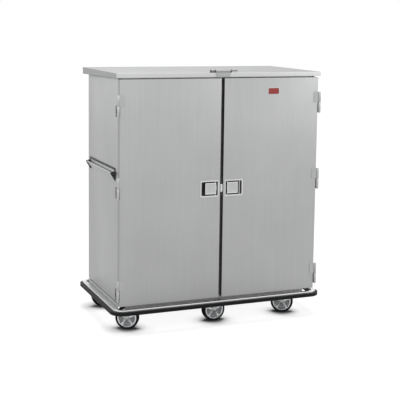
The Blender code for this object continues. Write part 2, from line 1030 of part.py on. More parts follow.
def make_handles():
    top = wall_bottom + wall_height * handle_top_share - fit_gap
    bottom = top - handle_drop
    nose_top = top - handle_nose_below_top
    nose_bottom = nose_top - handle_nose_height
    wall = wall_half_width + fit_gap
    reach = wall + handle_reach
    for side, label in sides:
        frame = block(
            "handle_frame_" + label,
            span(side, wall, wall + handle_strip_thickness),
            (-handle_half_length, handle_half_length),
            (top - handle_strip_height, top),
            collection=cart,
        )
        outline = [
            (side * wall, top),
            (side * (wall + handle_strip_thickness), top),
            (side * (wall + handle_strip_thickness), nose_top + handle_end_rise),
            (side * reach, nose_top),
            (side * reach, nose_bottom),
            (side * wall, bottom),
        ]
        for end in (-1, 1):
            low, high = span(end, handle_half_length - handle_end_width, handle_half_length)
            unite(frame, flat_shape("handle_end", outline, low, high))
        finish(settle(frame), black_plastic)

        grip_top = top - handle_strip_height - fit_gap
        grip_low = top - grip_back_drop
        lip_x = reach - grip_lip_radius
        lip_z = nose_top - grip_lip_radius
        length = math.hypot(lip_x - wall, lip_z - grip_low)
        slope = (lip_z - grip_low) / (lip_x - wall)
        half = handle_half_length - handle_end_width - fit_gap
        inner_z = grip_low + grip_sheet * slope
        rise = grip_sheet * length / (lip_x - wall)
        outline = [
            (side * wall, grip_top),
            (side * wall, grip_low - rise / 2),
            (side * lip_x, lip_z - rise / 2),
            (side * lip_x, lip_z + rise / 2),
            (side * (wall + grip_sheet), inner_z + rise / 2),
            (side * (wall + grip_sheet), grip_top),
        ]
        grip = flat_shape("handle_grip_" + label, outline, -half, half, cart)
        unite(
            grip,
            cylinder("grip_lip", grip_lip_radius, -half, half, (side * lip_x, lip_z), pin_segments, "Y"),
        )
        finish(settle(grip), steel_bright)


def make_name_plate():
    centre_z = door_top - plate_centre_below_door_top - plate_height / 2
    face = door_front - fit_gap
    plate = block(
        "name_plate",
        (plate_centre_x - plate_width / 2, plate_centre_x + plate_width / 2),
        (face - plate_thickness, face),
        (centre_z - plate_height / 2, centre_z + plate_height / 2),
        along(1),
        plate_round,
        plate_segments,
        cart,
    )
    finish(plate, red_enamel, bpy.data.objects["door_axis_right"])


def make_wheel_patterns():
    half = wheel_width / 2
    bore_radius = wheel_radius - tyre_depth
    tyre = cylinder("tyre_pattern", wheel_radius, -half, half, (0, 0), wheel_segments, "Y")
    edge = tyre.modifiers.new("edge", "BEVEL")
    edge.width = tyre_edge_round
    edge.segments = small_round_segments
    edge.limit_method = "ANGLE"
    edge.angle_limit = math.radians(60)
    far = half + overrun
    cut(tyre, cylinder("tyre_bore", bore_radius, -far, far, (0, 0), wheel_segments, "Y"))
    settle(tyre)

    rim_radius = bore_radius - fit_gap
    rim_half = rim_width / 2
    core = cylinder("core_pattern", rim_radius, -rim_half, rim_half, (0, 0), wheel_segments, "Y")
    inner = rim_radius - rim_depth
    cut(core, cylinder("rim_bore", inner, -far, far, (0, 0), wheel_segments, "Y"))
    hub_half = hub_width / 2
    hub = cylinder("hub", hub_radius, -hub_half, hub_half, (0, 0), pin_segments, "Y")
    web_radius = inner + rim_depth / 2
    web = cylinder("web", web_radius, -web_thickness / 2, web_thickness / 2, (0, 0), wheel_segments, "Y")
    unite(core, hub, web)
    for number in range(spoke_count):
        spoke = block(
            "spoke",
            (-spoke_width / 2, spoke_width / 2),
            (-spoke_depth / 2, spoke_depth / 2),
            (hub_radius / 2, web_radius),
        )
        turn = Matrix.Rotation(full_turn * number / spoke_count, 4, "Y")
        spoke.matrix_world = turn @ spoke.matrix_world
        unite(core, spoke)
    far = hub_half + overrun
    cut(core, cylinder("axle_bore", axle_radius + fit_gap, -far, far, (0, 0), pin_segments, "Y"))
    settle(core)
    return tyre, core


def make_fork_pattern(name, trail):
    """A fork under its crown, with the axle, in its own frame: the wheel trails along X."""
    leg_inner = hub_width / 2 + fork_leg_gap
    leg_outer = leg_inner + fork_leg_thickness
    crown_half_width = leg_outer + crown_lip
    leg_half = crown_half_length - crown_lip
    leg_top = crown_bottom + crown_thickness / 2
    fork = block(
        name,
        (-crown_half_length, crown_half_length),
        (-crown_half_width, crown_half_width),
        (crown_bottom, crown_top),
    )
    foot = fork_leg_foot
    outline = [
        (-leg_half, leg_top),
        (-leg_half, crown_bottom),
        (trail - foot, wheel_radius + foot / 2),
        (trail - foot, wheel_radius - foot / 2),
        (trail - foot / 2, wheel_radius - foot),
        (trail + foot / 2, wheel_radius - foot),
        (trail + foot, wheel_radius - foot / 2),
        (trail + foot, wheel_radius + foot / 2),
        (leg_half, crown_bottom),
        (leg_half, leg_top),
    ]
    for end in (-1, 1):
        low, high = span(end, leg_inner, leg_outer)
        unite(fork, flat_shape("fork_leg", outline, low, high))
        head = span(end, leg_outer - axle_head_height / 2, leg_outer + axle_head_height)
        unite(fork, cylinder("axle_head", axle_head_radius, *head, (trail, wheel_radius), pin_segments, "Y"))
    unite(
        fork,
        cylinder("axle", axle_radius, -leg_outer, leg_outer, (trail, wheel_radius), pin_segments, "Y"),
    )
    return fork


def make_casters():
    tyre, core = make_wheel_patterns()
    swivel_fork = make_fork_pattern("swivel_pattern", caster_trail)
    unite(
        swivel_fork,
        cylinder(
            "lower_race",
            lower_race_radius,
            crown_top - crown_thickness / 2,
            lower_race_top,
            (0, 0),
            race_segments,
        ),
    )
    cut(
        swivel_fork,
        cylinder(
            "kingpin_bore",
            kingpin_radius + fit_gap,
            crown_bottom - overrun,
            lower_race_top + overrun,
            (0, 0),
            pin_segments,
        ),
    )
    settle(swivel_fork)
    rigid_fork = make_fork_pattern("rigid_pattern", 0)
    unite(
        rigid_fork,
        block(
            "rigid_neck",
            (-neck_half_length, neck_half_length),
            (-neck_half_width, neck_half_width),
            (crown_top - crown_thickness / 2, caster_plate_bottom + caster_plate_thickness / 2),
        ),
        block(
            "rigid_plate",
            (-caster_plate_length / 2, caster_plate_length / 2),
            (-caster_plate_depth / 2, caster_plate_depth / 2),
            (caster_plate_bottom, caster_plate_top),
            along(2),
            caster_plate_round,
        ),
    )
    settle(rigid_fork)
    plate = block(
        "plate_pattern",
        (-caster_plate_length / 2, caster_plate_length / 2),
        (-caster_plate_depth / 2, caster_plate_depth / 2),
        (caster_plate_bottom, caster_plate_top),
        along(2),
        caster_plate_round,
    )
    unite(
        plate,
        cylinder(
            "upper_race",
            upper_race_radius,
            upper_race_bottom,
            caster_plate_bottom + fit_gap,
            (0, 0),
            race_segments,
        ),
        cylinder(
            "kingpin",
            kingpin_radius,
            crown_bottom - kingpin_drop,
            caster_plate_top - fit_gap,
            (0, 0),
            pin_segments,
        ),
    )
    settle(plate)

    places = (
        ("front_left", -swivel_x, caster_front_y, front_heading),
        ("front_right", swivel_x, caster_front_y, front_heading),
        ("rear_left", -swivel_x, caster_back_y, rear_left_heading),
        ("rear_right", swivel_x, caster_back_y, rear_right_heading),
    )
    for label, x, y, heading in places:
        stand = Matrix.Translation((x, y, 0))
        turned = stand @ Matrix.Rotation(heading, 4, "Z")
        wheel = turned @ Matrix.Translation((caster_trail, 0, wheel_radius))
        place_copy("caster_plate_" + label, plate, stand @ plate.matrix_world, zinc)
        swivel_axis = axis_mark("swivel_axis_" + label, (x, y, 0))
        place_copy("caster_fork_" + label, swivel_fork, turned @ swivel_fork.matrix_world, zinc, swivel_axis)
        wheel_axis = axis_mark("wheel_axis_" + label, wheel.translation)
        place_copy("wheel_core_" + label, core, wheel, grey_core, wheel_axis)
        place_copy("wheel_tyre_" + label, tyre, wheel, tyre_rubber, wheel_axis)
    for label, y in (("mid_front", caster_front_y), ("mid_rear", caster_back_y)):
        stand = Matrix.Translation((0, y, 0))
        wheel = stand @ Matrix.Translation((0, 0, wheel_radius))
        place_copy("caster_fork_" + label, rigid_fork, stand @ rigid_fork.matrix_world, zinc)
        wheel_axis = axis_mark("wheel_axis_" + label, wheel.translation)
        place_copy("wheel_core_" + label, core, wheel, grey_core, wheel_axis)
        place_copy("wheel_tyre_" + label, tyre, wheel, tyre_rubber, wheel_axis)
    for pattern in (tyre, core, swivel_fork, rigid_fork, plate):
        bpy.data.objects.remove(pattern)


clear_scene()
cart = bpy.data.collections.new("pan_transport_cart")
cutters = bpy.data.collections.new("shaping_tools")
bpy.context.scene.collection.children.link(cart)
bpy.context.scene.collection.children.link(cutters)
sides = ((-1, "left"), (1, "right"))

steel_brushed = make_material("brushed_steel", (0.52, 0.53, 0.54), 0.34, 1)
steel_bright = make_material("bright_steel", (0.66, 0.67, 0.68), 0.22, 1)
steel_dark = make_material("shaded_steel", (0.40, 0.41, 0.42), 0.42, 1)
chrome = make_material("chrome_nose", (0.80, 0.81, 0.82), 0.10, 1)
zinc = make_material("zinc_plate", (0.55, 0.56, 0.57), 0.32, 1)
grey_core = make_material("grey_wheel_core", (0.42, 0.43, 0.44), 0.40, 1)
black_rubber = make_material("black_rubber", (0.020, 0.020, 0.021), 0.75, 0)
tyre_rubber = make_material("tyre_rubber", (0.018, 0.018, 0.019), 0.65, 0)
black_vinyl = make_material("black_vinyl", (0.028, 0.028, 0.030), 0.55, 0)
black_plastic = make_material("black_plastic", (0.025, 0.025, 0.026), 0.45, 0)
red_enamel = make_material("red_enamel", (0.36, 0.045, 0.045), 0.35, 0)

make_chassis()
make_bumper()
make_walls()
make_cap()
make_face_frame()
make_racks()
make_doors()
make_hinge_leaves()
make_latches()
make_transport_latch()
make_handles()
make_name_plate()
make_casters()
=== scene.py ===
import json
import math

import bmesh
import bpy
from mathutils import Matrix, Vector


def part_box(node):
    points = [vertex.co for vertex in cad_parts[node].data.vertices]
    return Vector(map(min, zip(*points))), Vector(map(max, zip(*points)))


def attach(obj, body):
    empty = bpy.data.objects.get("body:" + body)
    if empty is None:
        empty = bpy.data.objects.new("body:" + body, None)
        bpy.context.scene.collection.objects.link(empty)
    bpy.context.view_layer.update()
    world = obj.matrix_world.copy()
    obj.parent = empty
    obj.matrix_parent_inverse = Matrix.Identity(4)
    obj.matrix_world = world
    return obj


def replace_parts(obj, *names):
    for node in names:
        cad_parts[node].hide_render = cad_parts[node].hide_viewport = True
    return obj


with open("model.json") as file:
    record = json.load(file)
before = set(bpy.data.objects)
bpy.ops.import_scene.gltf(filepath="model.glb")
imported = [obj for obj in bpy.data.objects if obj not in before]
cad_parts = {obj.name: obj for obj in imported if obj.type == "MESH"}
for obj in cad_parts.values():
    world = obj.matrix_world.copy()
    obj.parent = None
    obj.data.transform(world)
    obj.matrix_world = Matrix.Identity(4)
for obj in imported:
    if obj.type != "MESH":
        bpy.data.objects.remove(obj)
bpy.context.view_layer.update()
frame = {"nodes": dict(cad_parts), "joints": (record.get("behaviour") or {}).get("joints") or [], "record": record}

nodes = frame["nodes"]
scene = bpy.context.scene
corners = ("front_left", "front_right", "rear_left", "rear_right")
rigidWheels = ("mid_front", "mid_rear")
sides = ((-1, "left"), (1, "right"))
bodyOf = {node: body for body, held in frame["record"]["behaviour"]["bodies"].items() for node in held}
print("cart frame loaded:", len(nodes), "solids")


def heldObject(name, data):
    item = bpy.data.objects.new(name, data)
    scene.collection.objects.link(item)
    return item


# camera

cameraSetup = {
    "place": (-2.5155, -6.1316, 1.9887),
    "yaw": 22.337,         # degrees to the right of straight ahead
    "pitch": -7.024,
    "roll": 0.7475,
    "lens": 88.88,
    "shiftY": -0.15,
}


def placeCamera(setup):
    data = bpy.data.cameras.new("photoCamera")
    data.lens = setup["lens"]
    data.sensor_width = 36
    data.shift_y = setup["shiftY"]
    data.clip_end = 60
    camera = heldObject("photoCamera", data)
    turn = Matrix.Rotation(-math.radians(setup["yaw"]), 4, "Z")
    tilt = Matrix.Rotation(math.radians(90 + setup["pitch"]), 4, "X")
    lean = Matrix.Rotation(math.radians(setup["roll"]), 4, "Z")
    camera.matrix_world = Matrix.Translation(setup["place"]) @ turn @ tilt @ lean
    scene.camera = camera


placeCamera(cameraSetup)
scene.view_settings.view_transform = "Standard"


# node helpers

def newMaterial(name, colour, metallic, roughness):
    material = bpy.data.materials.new(name)
    material.use_nodes = True
    tree = material.node_tree
    shader = tree.nodes["Principled BSDF"]
    shader.inputs["Base Color"].default_value = (*colour, 1)
    shader.inputs["Metallic"].default_value = metallic
    shader.inputs["Roughness"].default_value = roughness
    return material, tree, shader


def addNode(tree, kind, values=None, settings=None):
    node = tree.nodes.new(kind)
    for key, value in (settings or {}).items():
        setattr(node, key, value)
    for key, value in (values or {}).items():
        node.inputs[key].default_value = value
    return node


def connect(tree, *links):
    # each link is (node, output, node, input)
    for start, output, end, entry in links:
        tree.links.new(start.outputs[output], end.inputs[entry])


def stretchedNoise(tree, stretch, detail, roughness=0.55):
    # noise in metres of the piece, stretched along its grain
    place = addNode(tree, "ShaderNodeTexCoord")
    mapping = addNode(tree, "ShaderNodeMapping", {"Scale": stretch})
    noise = addNode(tree, "ShaderNodeTexNoise", {"Scale": 1.0, "Detail": detail, "Roughness": roughness})
    connect(tree, (place, "Object", mapping, "Vector"))
    connect(tree, (mapping, "Vector", noise, "Vector"))
    return noise.outputs["Fac"]


def remap(tree, value, low, high, inLow=0.3, inHigh=0.7):
    span = {"From Min": inLow, "From Max": inHigh, "To Min": low, "To Max": high}
    node = addNode(tree, "ShaderNodeMapRange", span)
    tree.links.new(value, node.inputs["Value"])
    return node.outputs["Result"]


def blendColours(tree, factor, first, second):
    mix = addNode(tree, "ShaderNodeMix", settings={"data_type": "RGBA"})
    mix.inputs[6].default_value = (*first, 1)
    mix.inputs[7].default_value = (*second, 1)
    tree.links.new(factor, mix.inputs[0])
    return mix.outputs[2]


def combine(tree, first, second, operation="ADD"):
    node = addNode(tree, "ShaderNodeMath", settings={"operation": operation})
    tree.links.new(first, node.inputs[0])
    tree.links.new(second, node.inputs[1])
    return node.outputs[0]


def addBump(tree, shader, height, strength, distance):
    bump = addNode(tree, "ShaderNodeBump", {"Strength": strength, "Distance": distance})
    tree.links.new(height, bump.inputs["Height"])
    connect(tree, (bump, "Normal", shader, "Normal"))


# steel finishes

sheetLook = {
    "tone": 0.50,
    "tint": (0.995, 1.0, 1.006),
    "roughness": 0.40,
    "roughSpread": 0.05,
    "fineLines": 1400.0,
    "lineLength": 16.0,
    "grainAxis": 2,
    "detail": 2.0,
    "bandShare": 9,           # the broad bands are this much coarser than the fine lines
    "lineDepth": 0.05,
    "lineSpan": (0.6, 1.4),
    "cloudSize": 2.4,
    "cloudDepth": 0.03,
    "wipeStretch": (7.0, 5.0, 3.0),
    "wipeDetail": 4.0,
    "wipeBreak": 0.65,
    "grainBump": 0.12,
    "bumpDepth": 0.0002,
}


def rolledSteel(name, **changes):
    # brushed sheet: fine lines along the grain, slow clouds, a few wiping marks
    look = {**sheetLook, **changes}
    tone, gloss, spread, detail = look["tone"], look["roughness"], look["roughSpread"], look["detail"]
    material, tree, shader = newMaterial(name, (tone, tone, tone), 1.0, gloss)
    stretch = [look["fineLines"]] * 3
    stretch[look["grainAxis"]] = look["lineLength"]
    grain = stretchedNoise(tree, stretch, detail)
    bands = stretchedNoise(tree, [value / look["bandShare"] for value in stretch], detail)
    clouds = stretchedNoise(tree, (look["cloudSize"],) * 3, detail)
    wipes = stretchedNoise(tree, look["wipeStretch"], look["wipeDetail"], look["wipeBreak"])
    shares = (1 - look["cloudDepth"], 1 + look["cloudDepth"])
    dark, pale = [[tone * share * tint for tint in look["tint"]] for share in shares]
    colour = blendColours(tree, remap(tree, clouds, 0.0, 1.0), dark, pale)
    depth = look["lineDepth"]
    lines = remap(tree, combine(tree, grain, bands), 1 - depth, 1 + depth, *look["lineSpan"])
    scaled = addNode(tree, "ShaderNodeVectorMath", settings={"operation": "SCALE"})
    tree.links.new(colour, scaled.inputs[0])
    tree.links.new(lines, scaled.inputs["Scale"])
    connect(tree, (scaled, 0, shader, "Base Color"))
    rough = combine(
        tree, remap(tree, grain, gloss - spread, gloss + spread), remap(tree, wipes, -spread, spread)
    )
    tree.links.new(rough, shader.inputs["Roughness"])
    addBump(tree, shader, grain, look["grainBump"], look["bumpDepth"])
    return material


doorSteel = rolledSteel("doorSteel")
wallSteel = rolledSteel("wallSteel", tone=0.51, cloudSize=1.9)
capSteel = rolledSteel("capSteel", tone=0.42, grainAxis=0, roughness=0.5)
# painted light: brighter than the cap on the cap's front flange, darker than the rail on the rail's sides
flangeSteel = rolledSteel("flangeSteel", tone=0.64, grainAxis=0, roughness=0.36)
innerSteel = rolledSteel("innerSteel", tone=0.44, grainAxis=1, roughness=0.44)
railSteel = rolledSteel("railSteel", tone=0.80, grainAxis=0, roughness=0.30)
# painted shade: a darker copy for the hinge side of the door skins
sideSteel = rolledSteel("sideSteel", tone=0.385)
chassisSteel = rolledSteel("chassisSteel", grainAxis=0, roughness=0.5)
latchSteel = rolledSteel("latchSteel", tone=0.60, roughness=0.32, fineLines=2200.0, lineLength=60.0)
edgeSteel = rolledSteel("edgeSteel", tone=0.74, roughness=0.26, fineLines=2200.0, lineLength=60.0)
hingeSteel = rolledSteel("hingeSteel", tone=0.52, roughness=0.34, fineLines=1800.0, lineLength=50.0)
gripSteel = rolledSteel("gripSteel", tone=0.56, roughness=0.48, grainAxis=1, lineLength=30.0)
darkSteel = rolledSteel("darkSteel", tone=0.16, roughness=0.36, fineLines=2200.0, lineLength=90.0)


# plated, cast, rubber, vinyl, plastic and enamel finishes

chromeLook = {
    "colour": (0.78, 0.79, 0.80),
    "roughness": 0.12,
    "hazeSize": 60.0,
    "gloss": (0.07, 0.18),
    "skinSize": 420.0,
    "skinBump": 0.05,
    "bumpDepth": 0.0002,
}


def polishedChrome(name, look):
    material, tree, shader = newMaterial(name, look["colour"], 1.0, look["roughness"])
    haze = stretchedNoise(tree, (look["hazeSize"],) * 3, 3.0)
    tree.links.new(remap(tree, haze, *look["gloss"]), shader.inputs["Roughness"])
    skin = stretchedNoise(tree, (look["skinSize"],) * 3, 2.0)
    addBump(tree, shader, skin, look["skinBump"], look["bumpDepth"])
    return material


def patchyFinish(name, look):
    # slow patches between two colours, under a fine skin that varies the gloss
    material, tree, shader = newMaterial(name, look["colour"], look["metallic"], look["roughness"])
    patches = stretchedNoise(tree, (look["patchSize"],) * 3, look["patchDetail"], look["patchBreak"])
    mixed = remap(tree, patches, 0.0, 1.0, *look["patchSpan"])
    tree.links.new(blendColours(tree, mixed, *look["patches"]), shader.inputs["Base Color"])
    skin = stretchedNoise(tree, (look["skinSize"],) * 3, look["skinDetail"])
    tree.links.new(remap(tree, skin, *look["gloss"]), shader.inputs["Roughness"])
    addBump(tree, shader, skin, look["skinBump"], look["bumpDepth"])
    for socket, value in look["sockets"].items():
        shader.inputs[socket].default_value = value
    return material


metalSkin = {
    "metallic": 1.0,
    "patchDetail": 3.0,
    "patchBreak": 0.55,
    "patchSpan": (0.3, 0.7),
    "skinDetail": 3.0,
    "bumpDepth": 0.0003,
    "sockets": {},
}
zincLook = {
    **metalSkin,
    "colour": (0.52, 0.53, 0.53),
    "patches": ((0.50, 0.505, 0.49), (0.55, 0.56, 0.575)),    # slightly yellow and slightly blue
    "patchSize": 26.0,
    "patchDetail": 2.0,
    "roughness": 0.34,
    "gloss": (0.26, 0.42),
    "skinSize": 300.0,
    "skinBump": 0.10,
}
castLook = {
    **metalSkin,
    "tint": (0.98, 1.0, 1.02),
    "shares": (0.92, 1.08),
    "patchSize": 40.0,
    "roughness": 0.38,
    "gloss": (0.30, 0.46),
    "skinSize": 900.0,
    "skinBump": 0.25,
}
enamelLook = {
    **metalSkin,
    "metallic": 0.0,
    "colour": (0.42, 0.035, 0.030),
    "patches": ((0.38, 0.030, 0.026), (0.46, 0.042, 0.036)),
    "patchSize": 70.0,
    "roughness": 0.26,
    "gloss": (0.20, 0.32),
    "skinSize": 520.0,
    "skinDetail": 2.0,
    "skinBump": 0.08,
    "sockets": {"Coat Weight": 0.4, "Coat Roughness": 0.12},
}
softSkin = {
    **metalSkin,
    "metallic": 0.0,
    "patchDetail": 4.0,
    "patchBreak": 0.6,
    "patchSpan": (0.45, 0.75),
    "glossSpread": 0.08,
    "bumpDepth": 0.0004,
}
softLooks = {
    # colour, dusty patches, sheen, roughness, size of the patches, size and depth of the pits
    "blackVinyl": ((0.0065, 0.0065, 0.0070), (0.016, 0.016, 0.017), 0.22, 0.50, 14.0, 1200.0, 0.20),
    "tyreRubber": ((0.0045, 0.0045, 0.0048), (0.012, 0.0118, 0.0115), 0.25, 0.55, 35.0, 1500.0, 0.30),
    "gasketRubber": ((0.012, 0.012, 0.013), (0.026, 0.026, 0.027), 0.40, 0.52, 20.0, 1800.0, 0.18),
    "blackPlastic": ((0.020, 0.020, 0.021), (0.034, 0.034, 0.035), 0.45, 0.42, 25.0, 1600.0, 0.35),
}


def castMetal(name, tone):
    patches = [[tone * share * tint for tint in castLook["tint"]] for share in castLook["shares"]]
    return patchyFinish(name, {**castLook, "colour": (tone, tone, tone), "patches": patches})


def darkSoft(name):
    # rubber, vinyl or plastic: fine pitted skin, paler dusty patches
    keys = ("colour", "dusty", "sheen", "roughness", "patchSize", "skinSize", "skinBump")
    look = {**softSkin, **dict(zip(keys, softLooks[name]))}
    look["patches"] = (look["colour"], look["dusty"])
    look["gloss"] = [look["roughness"] + step * look["glossSpread"] for step in (-1, 1)]
    look["sockets"] = {"Specular IOR Level": look["sheen"]}
    return patchyFinish(name, look)


chromeNose = polishedChrome("chromeNose", chromeLook)
zincSteel = patchyFinish("zincSteel", zincLook)
castCore, coreShade = castMetal("castCore", 0.97), castMetal("coreShade", 0.27)
blackVinyl, tyreRubber, gasketRubber, blackPlastic = [darkSoft(name) for name in softLooks]
redEnamel = patchyFinish("redEnamel", enamelLook)

print("finishes ready")


# finishes on the solids that show as they are

solidFinish = {
    "base_chassis": chassisSteel,
    "face_frame": wallSteel,
    "centre_partition": innerSteel,
    "pan_slide_left": innerSteel,
    "pan_slide_right": innerSteel,
}


def dressSolids():
    for name, finish in solidFinish.items():
        for place in nodes[name].material_slots:
            place.material = finish


dressSolids()


# mesh helpers

squareOn = 0.9           # least share of its normal along an axis, for a face that looks along it


def meshOf(bm, name):
    mesh = bpy.data.meshes.new(name)
    bm.to_mesh(mesh)
    bm.free()
    return mesh


def addPiece(mesh, body, finishes=(), sharp=35):
    # a finished piece named after its mesh, riding on its body
    if finishes:
        numbers = [face.material_index for face in mesh.polygons]
        mesh.materials.clear()
        for finish in finishes:
            mesh.materials.append(finish)
        mesh.polygons.foreach_set("material_index", numbers)
    mesh.shade_smooth()
    mesh.set_sharp_from_angle(angle=math.radians(sharp))
    piece = heldObject(mesh.name, mesh)
    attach(piece, body)
    return piece


def standIn(mesh, node, finishes=(), sharp=35):
    # a finished piece in place of one solid
    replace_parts(addPiece(mesh, bodyOf[node], finishes, sharp), node)


def quarterTurn(steps):
    # (cosine, sine) pairs over a quarter turn, for rounded folds
    angles = [math.pi / 2 * k / steps for k in range(steps + 1)]
    return [(math.cos(angle), math.sin(angle)) for angle in angles]


def band(bm, near, far, mark=0, closed=True):
    # faces between two rows of points of equal length
    count = len(near)
    for k in range(count if closed else count - 1):
        after = (k + 1) % count
        bm.faces.new((near[k], near[after], far[after], far[k])).material_index = mark


def turnedShape(profile, steps, closed=True):
    # a profile of (radius, place along Y) turned about the Y axis
    bm = bmesh.new()
    rows = []
    for step in range(steps):
        angle = 2 * math.pi * step / steps
        rows.append([bm.verts.new((r * math.cos(angle), y, r * math.sin(angle))) for r, y in profile])
    for step in range(steps):
        band(bm, rows[step], rows[(step + 1) % steps], closed=closed)
    bmesh.ops.remove_doubles(bm, verts=bm.verts, dist=1e-6)
    bmesh.ops.recalc_face_normals(bm, faces=bm.faces)
    return bm


def mirrored(side):
    # one side of a profile, carried over to the other side
    return list(side) + [(radius, -y) for radius, y in reversed(side)]


def loftedShape(rings, marks=None):
    # a closed shape through rings of points; each mark is the material number of one band
    marks = marks or [0] * (len(rings) - 1)
    bm = bmesh.new()
    rows = [[bm.verts.new(point) for point in ring] for ring in rings]
    for near, far, mark in zip(rows, rows[1:], marks):
        band(bm, near, far, mark)
    for row, mark in ((rows[0], marks[0]), (rows[-1], marks[-1])):
        bm.faces.new(row).material_index = mark
    bmesh.ops.recalc_face_normals(bm, faces=bm.faces)
    return bm


def roundedLoop(halfX, halfZ, radius, steps):
    # points of a rounded rectangle in X and Z
    points = []
    radius = min(radius, halfX, halfZ)
    for signX, signZ, start in ((1, 1, 0), (-1, 1, 1), (-1, -1, 2), (1, -1, 3)):
        for step in range(steps + 1):
            angle = math.pi / 2 * (start + step / steps)
            x = signX * (halfX - radius) + math.cos(angle) * radius
            z = signZ * (halfZ - radius) + math.sin(angle) * radius
            points.append((x, z))
    return points


def pressedShape(loops, centre, steps=6, marks=None):
    # lofts rounded rectangles of (half width, half height, corner radius, place along Y)
    rings = []
    for halfX, halfZ, radius, y in loops:
        outline = roundedLoop(halfX, halfZ, radius, steps)
        rings.append([(centre[0] + x, centre[1] + y, centre[2] + z) for x, z in outline])
    return loftedShape(rings, marks)


def pressedPlate(rows, centre, half, ends, steps=6):
    # rows are (inset from the edge, corner radius, measured from, offset, material number)
    loops = [
        (half[0] - inset, half[1] - inset, radius, ends[start] + offset)
        for inset, radius, start, offset, mark in rows
    ]
    return pressedShape(loops, centre, steps, [row[-1] for row in rows[:-1]])


def frontOf(low, high):
    # the middle of a box in X and Z, and its half width and half height
    return ((low.x + high.x) / 2, 0, (low.z + high.z) / 2), ((high.x - low.x) / 2, (high.z - low.z) / 2)


def edgesAlong(bm, axis, least):
    # edges whose ends lie further apart than this along X, Y or Z (0, 1 or 2)
    return [e for e in bm.edges if abs(e.verts[0].co[axis] - e.verts[1].co[axis]) > least]


def softenEdges(bm, edges, width, segments=2, clamp=False):
    bmesh.ops.bevel(
        bm, geom=edges, offset=width, segments=segments, profile=0.5, affect="EDGES", clamp_overlap=clamp
    )


def softenedCopy(node, width, limit=28):
    # the solid's own shape, merged and with its edges rounded over
    bm = bmesh.new()
    bm.from_mesh(nodes[node].data)
    bmesh.ops.remove_doubles(bm, verts=bm.verts, dist=1e-5)
    bmesh.ops.dissolve_limit(bm, angle_limit=math.radians(0.5), verts=bm.verts, edges=bm.edges)
    edges = [e for e in bm.edges if e.is_manifold and e.calc_face_angle() > math.radians(limit)]
    softenEdges(bm, edges, width, clamp=True)
    return bm


def jointOf(name):
    return next(joint for joint in frame["joints"] if joint["name"] == name)


# box and rod shapes, joined and cut shapes

aboutX = Matrix.Rotation(math.pi / 2, 4, "X")
bevelMiddle = 0.3        # how near to the corner a bevel's middle point lies, as a share of the bevel


def boxShape(low, high, edge=0.0):
    bm = bmesh.new()
    bmesh.ops.create_cube(bm, size=1.0)
    middle = (Vector(low) + Vector(high)) / 2
    size = Vector(high) - Vector(low)
    for vert in bm.verts:
        vert.co = Vector([c * s for c, s in zip(vert.co, size)]) + middle
    if edge:
        softenEdges(bm, bm.edges[:], edge)
    return bm


def rodShape(radius, half, bevel, steps, bore=0.0):
    # a round bar along Y with softened ends, bored through where bore is set
    near = bevel * bevelMiddle
    side = [(bore, -half), (radius - bevel, -half), (radius - near, near - half), (radius, bevel - half)]
    return turnedShape(mirrored(side), steps, closed=bore > 0)


def joined(shapes, name):
    # several shapes as one mesh; each is (bmesh, matrix or None, material number or None)
    whole = bmesh.new()
    for shape, place, number in shapes:
        if place is not None:
            bmesh.ops.transform(shape, matrix=place, verts=shape.verts)
        if number is not None:
            for face in shape.faces:
                face.material_index = number
        mesh = meshOf(shape, "shapePart")
        whole.from_mesh(mesh)
        bpy.data.meshes.remove(mesh)
    return meshOf(whole, name)


def carved(name, shape, cutters):
    # cuts closed shapes out of a shape
    base = heldObject(name + "Base", meshOf(shape, name + "Base"))
    tools = [heldObject(name + "Tool", meshOf(cutter, name + "Tool")) for cutter in cutters]
    for tool in tools:
        modifier = base.modifiers.new("cut", "BOOLEAN")
        modifier.operation = "DIFFERENCE"
        modifier.solver = "EXACT"
        modifier.object = tool
    bpy.context.view_layer.update()
    mesh = bpy.data.meshes.new_from_object(base.evaluated_get(bpy.context.evaluated_depsgraph_get()))
    for item in [base] + tools:
        bpy.data.objects.remove(item)
    mesh.name = name
    mesh.materials.clear()
    return mesh


# node trees for what repeats

def startTree(name, inputs):
    # every tree takes a mesh, its own inputs and a finish
    tree = bpy.data.node_groups.new(name, "GeometryNodeTree")
    for label, kind in {"Geometry": "Geometry", **inputs, "Finish": "Material"}.items():
        tree.interface.new_socket(label, in_out="INPUT", socket_type="NodeSocket" + kind)
    tree.interface.new_socket("Geometry", in_out="OUTPUT", socket_type="NodeSocketGeometry")
    return tree, tree.nodes.new("NodeGroupInput"), tree.nodes.new("NodeGroupOutput")


def endTree(tree, shape, group, output):
    whole = tree.nodes.new("GeometryNodeRealizeInstances")
    paint = tree.nodes.new("GeometryNodeSetMaterial")
    tree.links.new(shape, whole.inputs[0])
    connect(
        tree,
        (whole, 0, paint, "Geometry"),
        (group, "Finish", paint, "Material"),
        (paint, 0, output, 0),
    )
    return tree


def growMesh(name, tree, values, carrier=None):
    # runs a tree on a carrier mesh and keeps the result as one plain mesh
    carrier = carrier or bpy.data.meshes.new(name + "Start")
    holder = heldObject(name + "Holder", carrier)
    modifier = holder.modifiers.new("grow", "NODES")
    modifier.node_group = tree
    sockets = {s.name: s.identifier for s in tree.interface.items_tree if s.in_out == "INPUT"}
    for label, value in values.items():
        modifier[sockets[label]] = value
    bpy.context.view_layer.update()
    shaped = holder.evaluated_get(bpy.context.evaluated_depsgraph_get())
    mesh = bpy.data.meshes.new_from_object(shaped)
    mesh.name = name
    mesh.materials.clear()
    mesh.materials.append(values["Finish"])
    for face in mesh.polygons:
        face.material_index = 0
    holder.modifiers.clear()
    bpy.data.objects.remove(holder)
    return mesh


fullTurn = 6.283         # upper end of a head's random spin


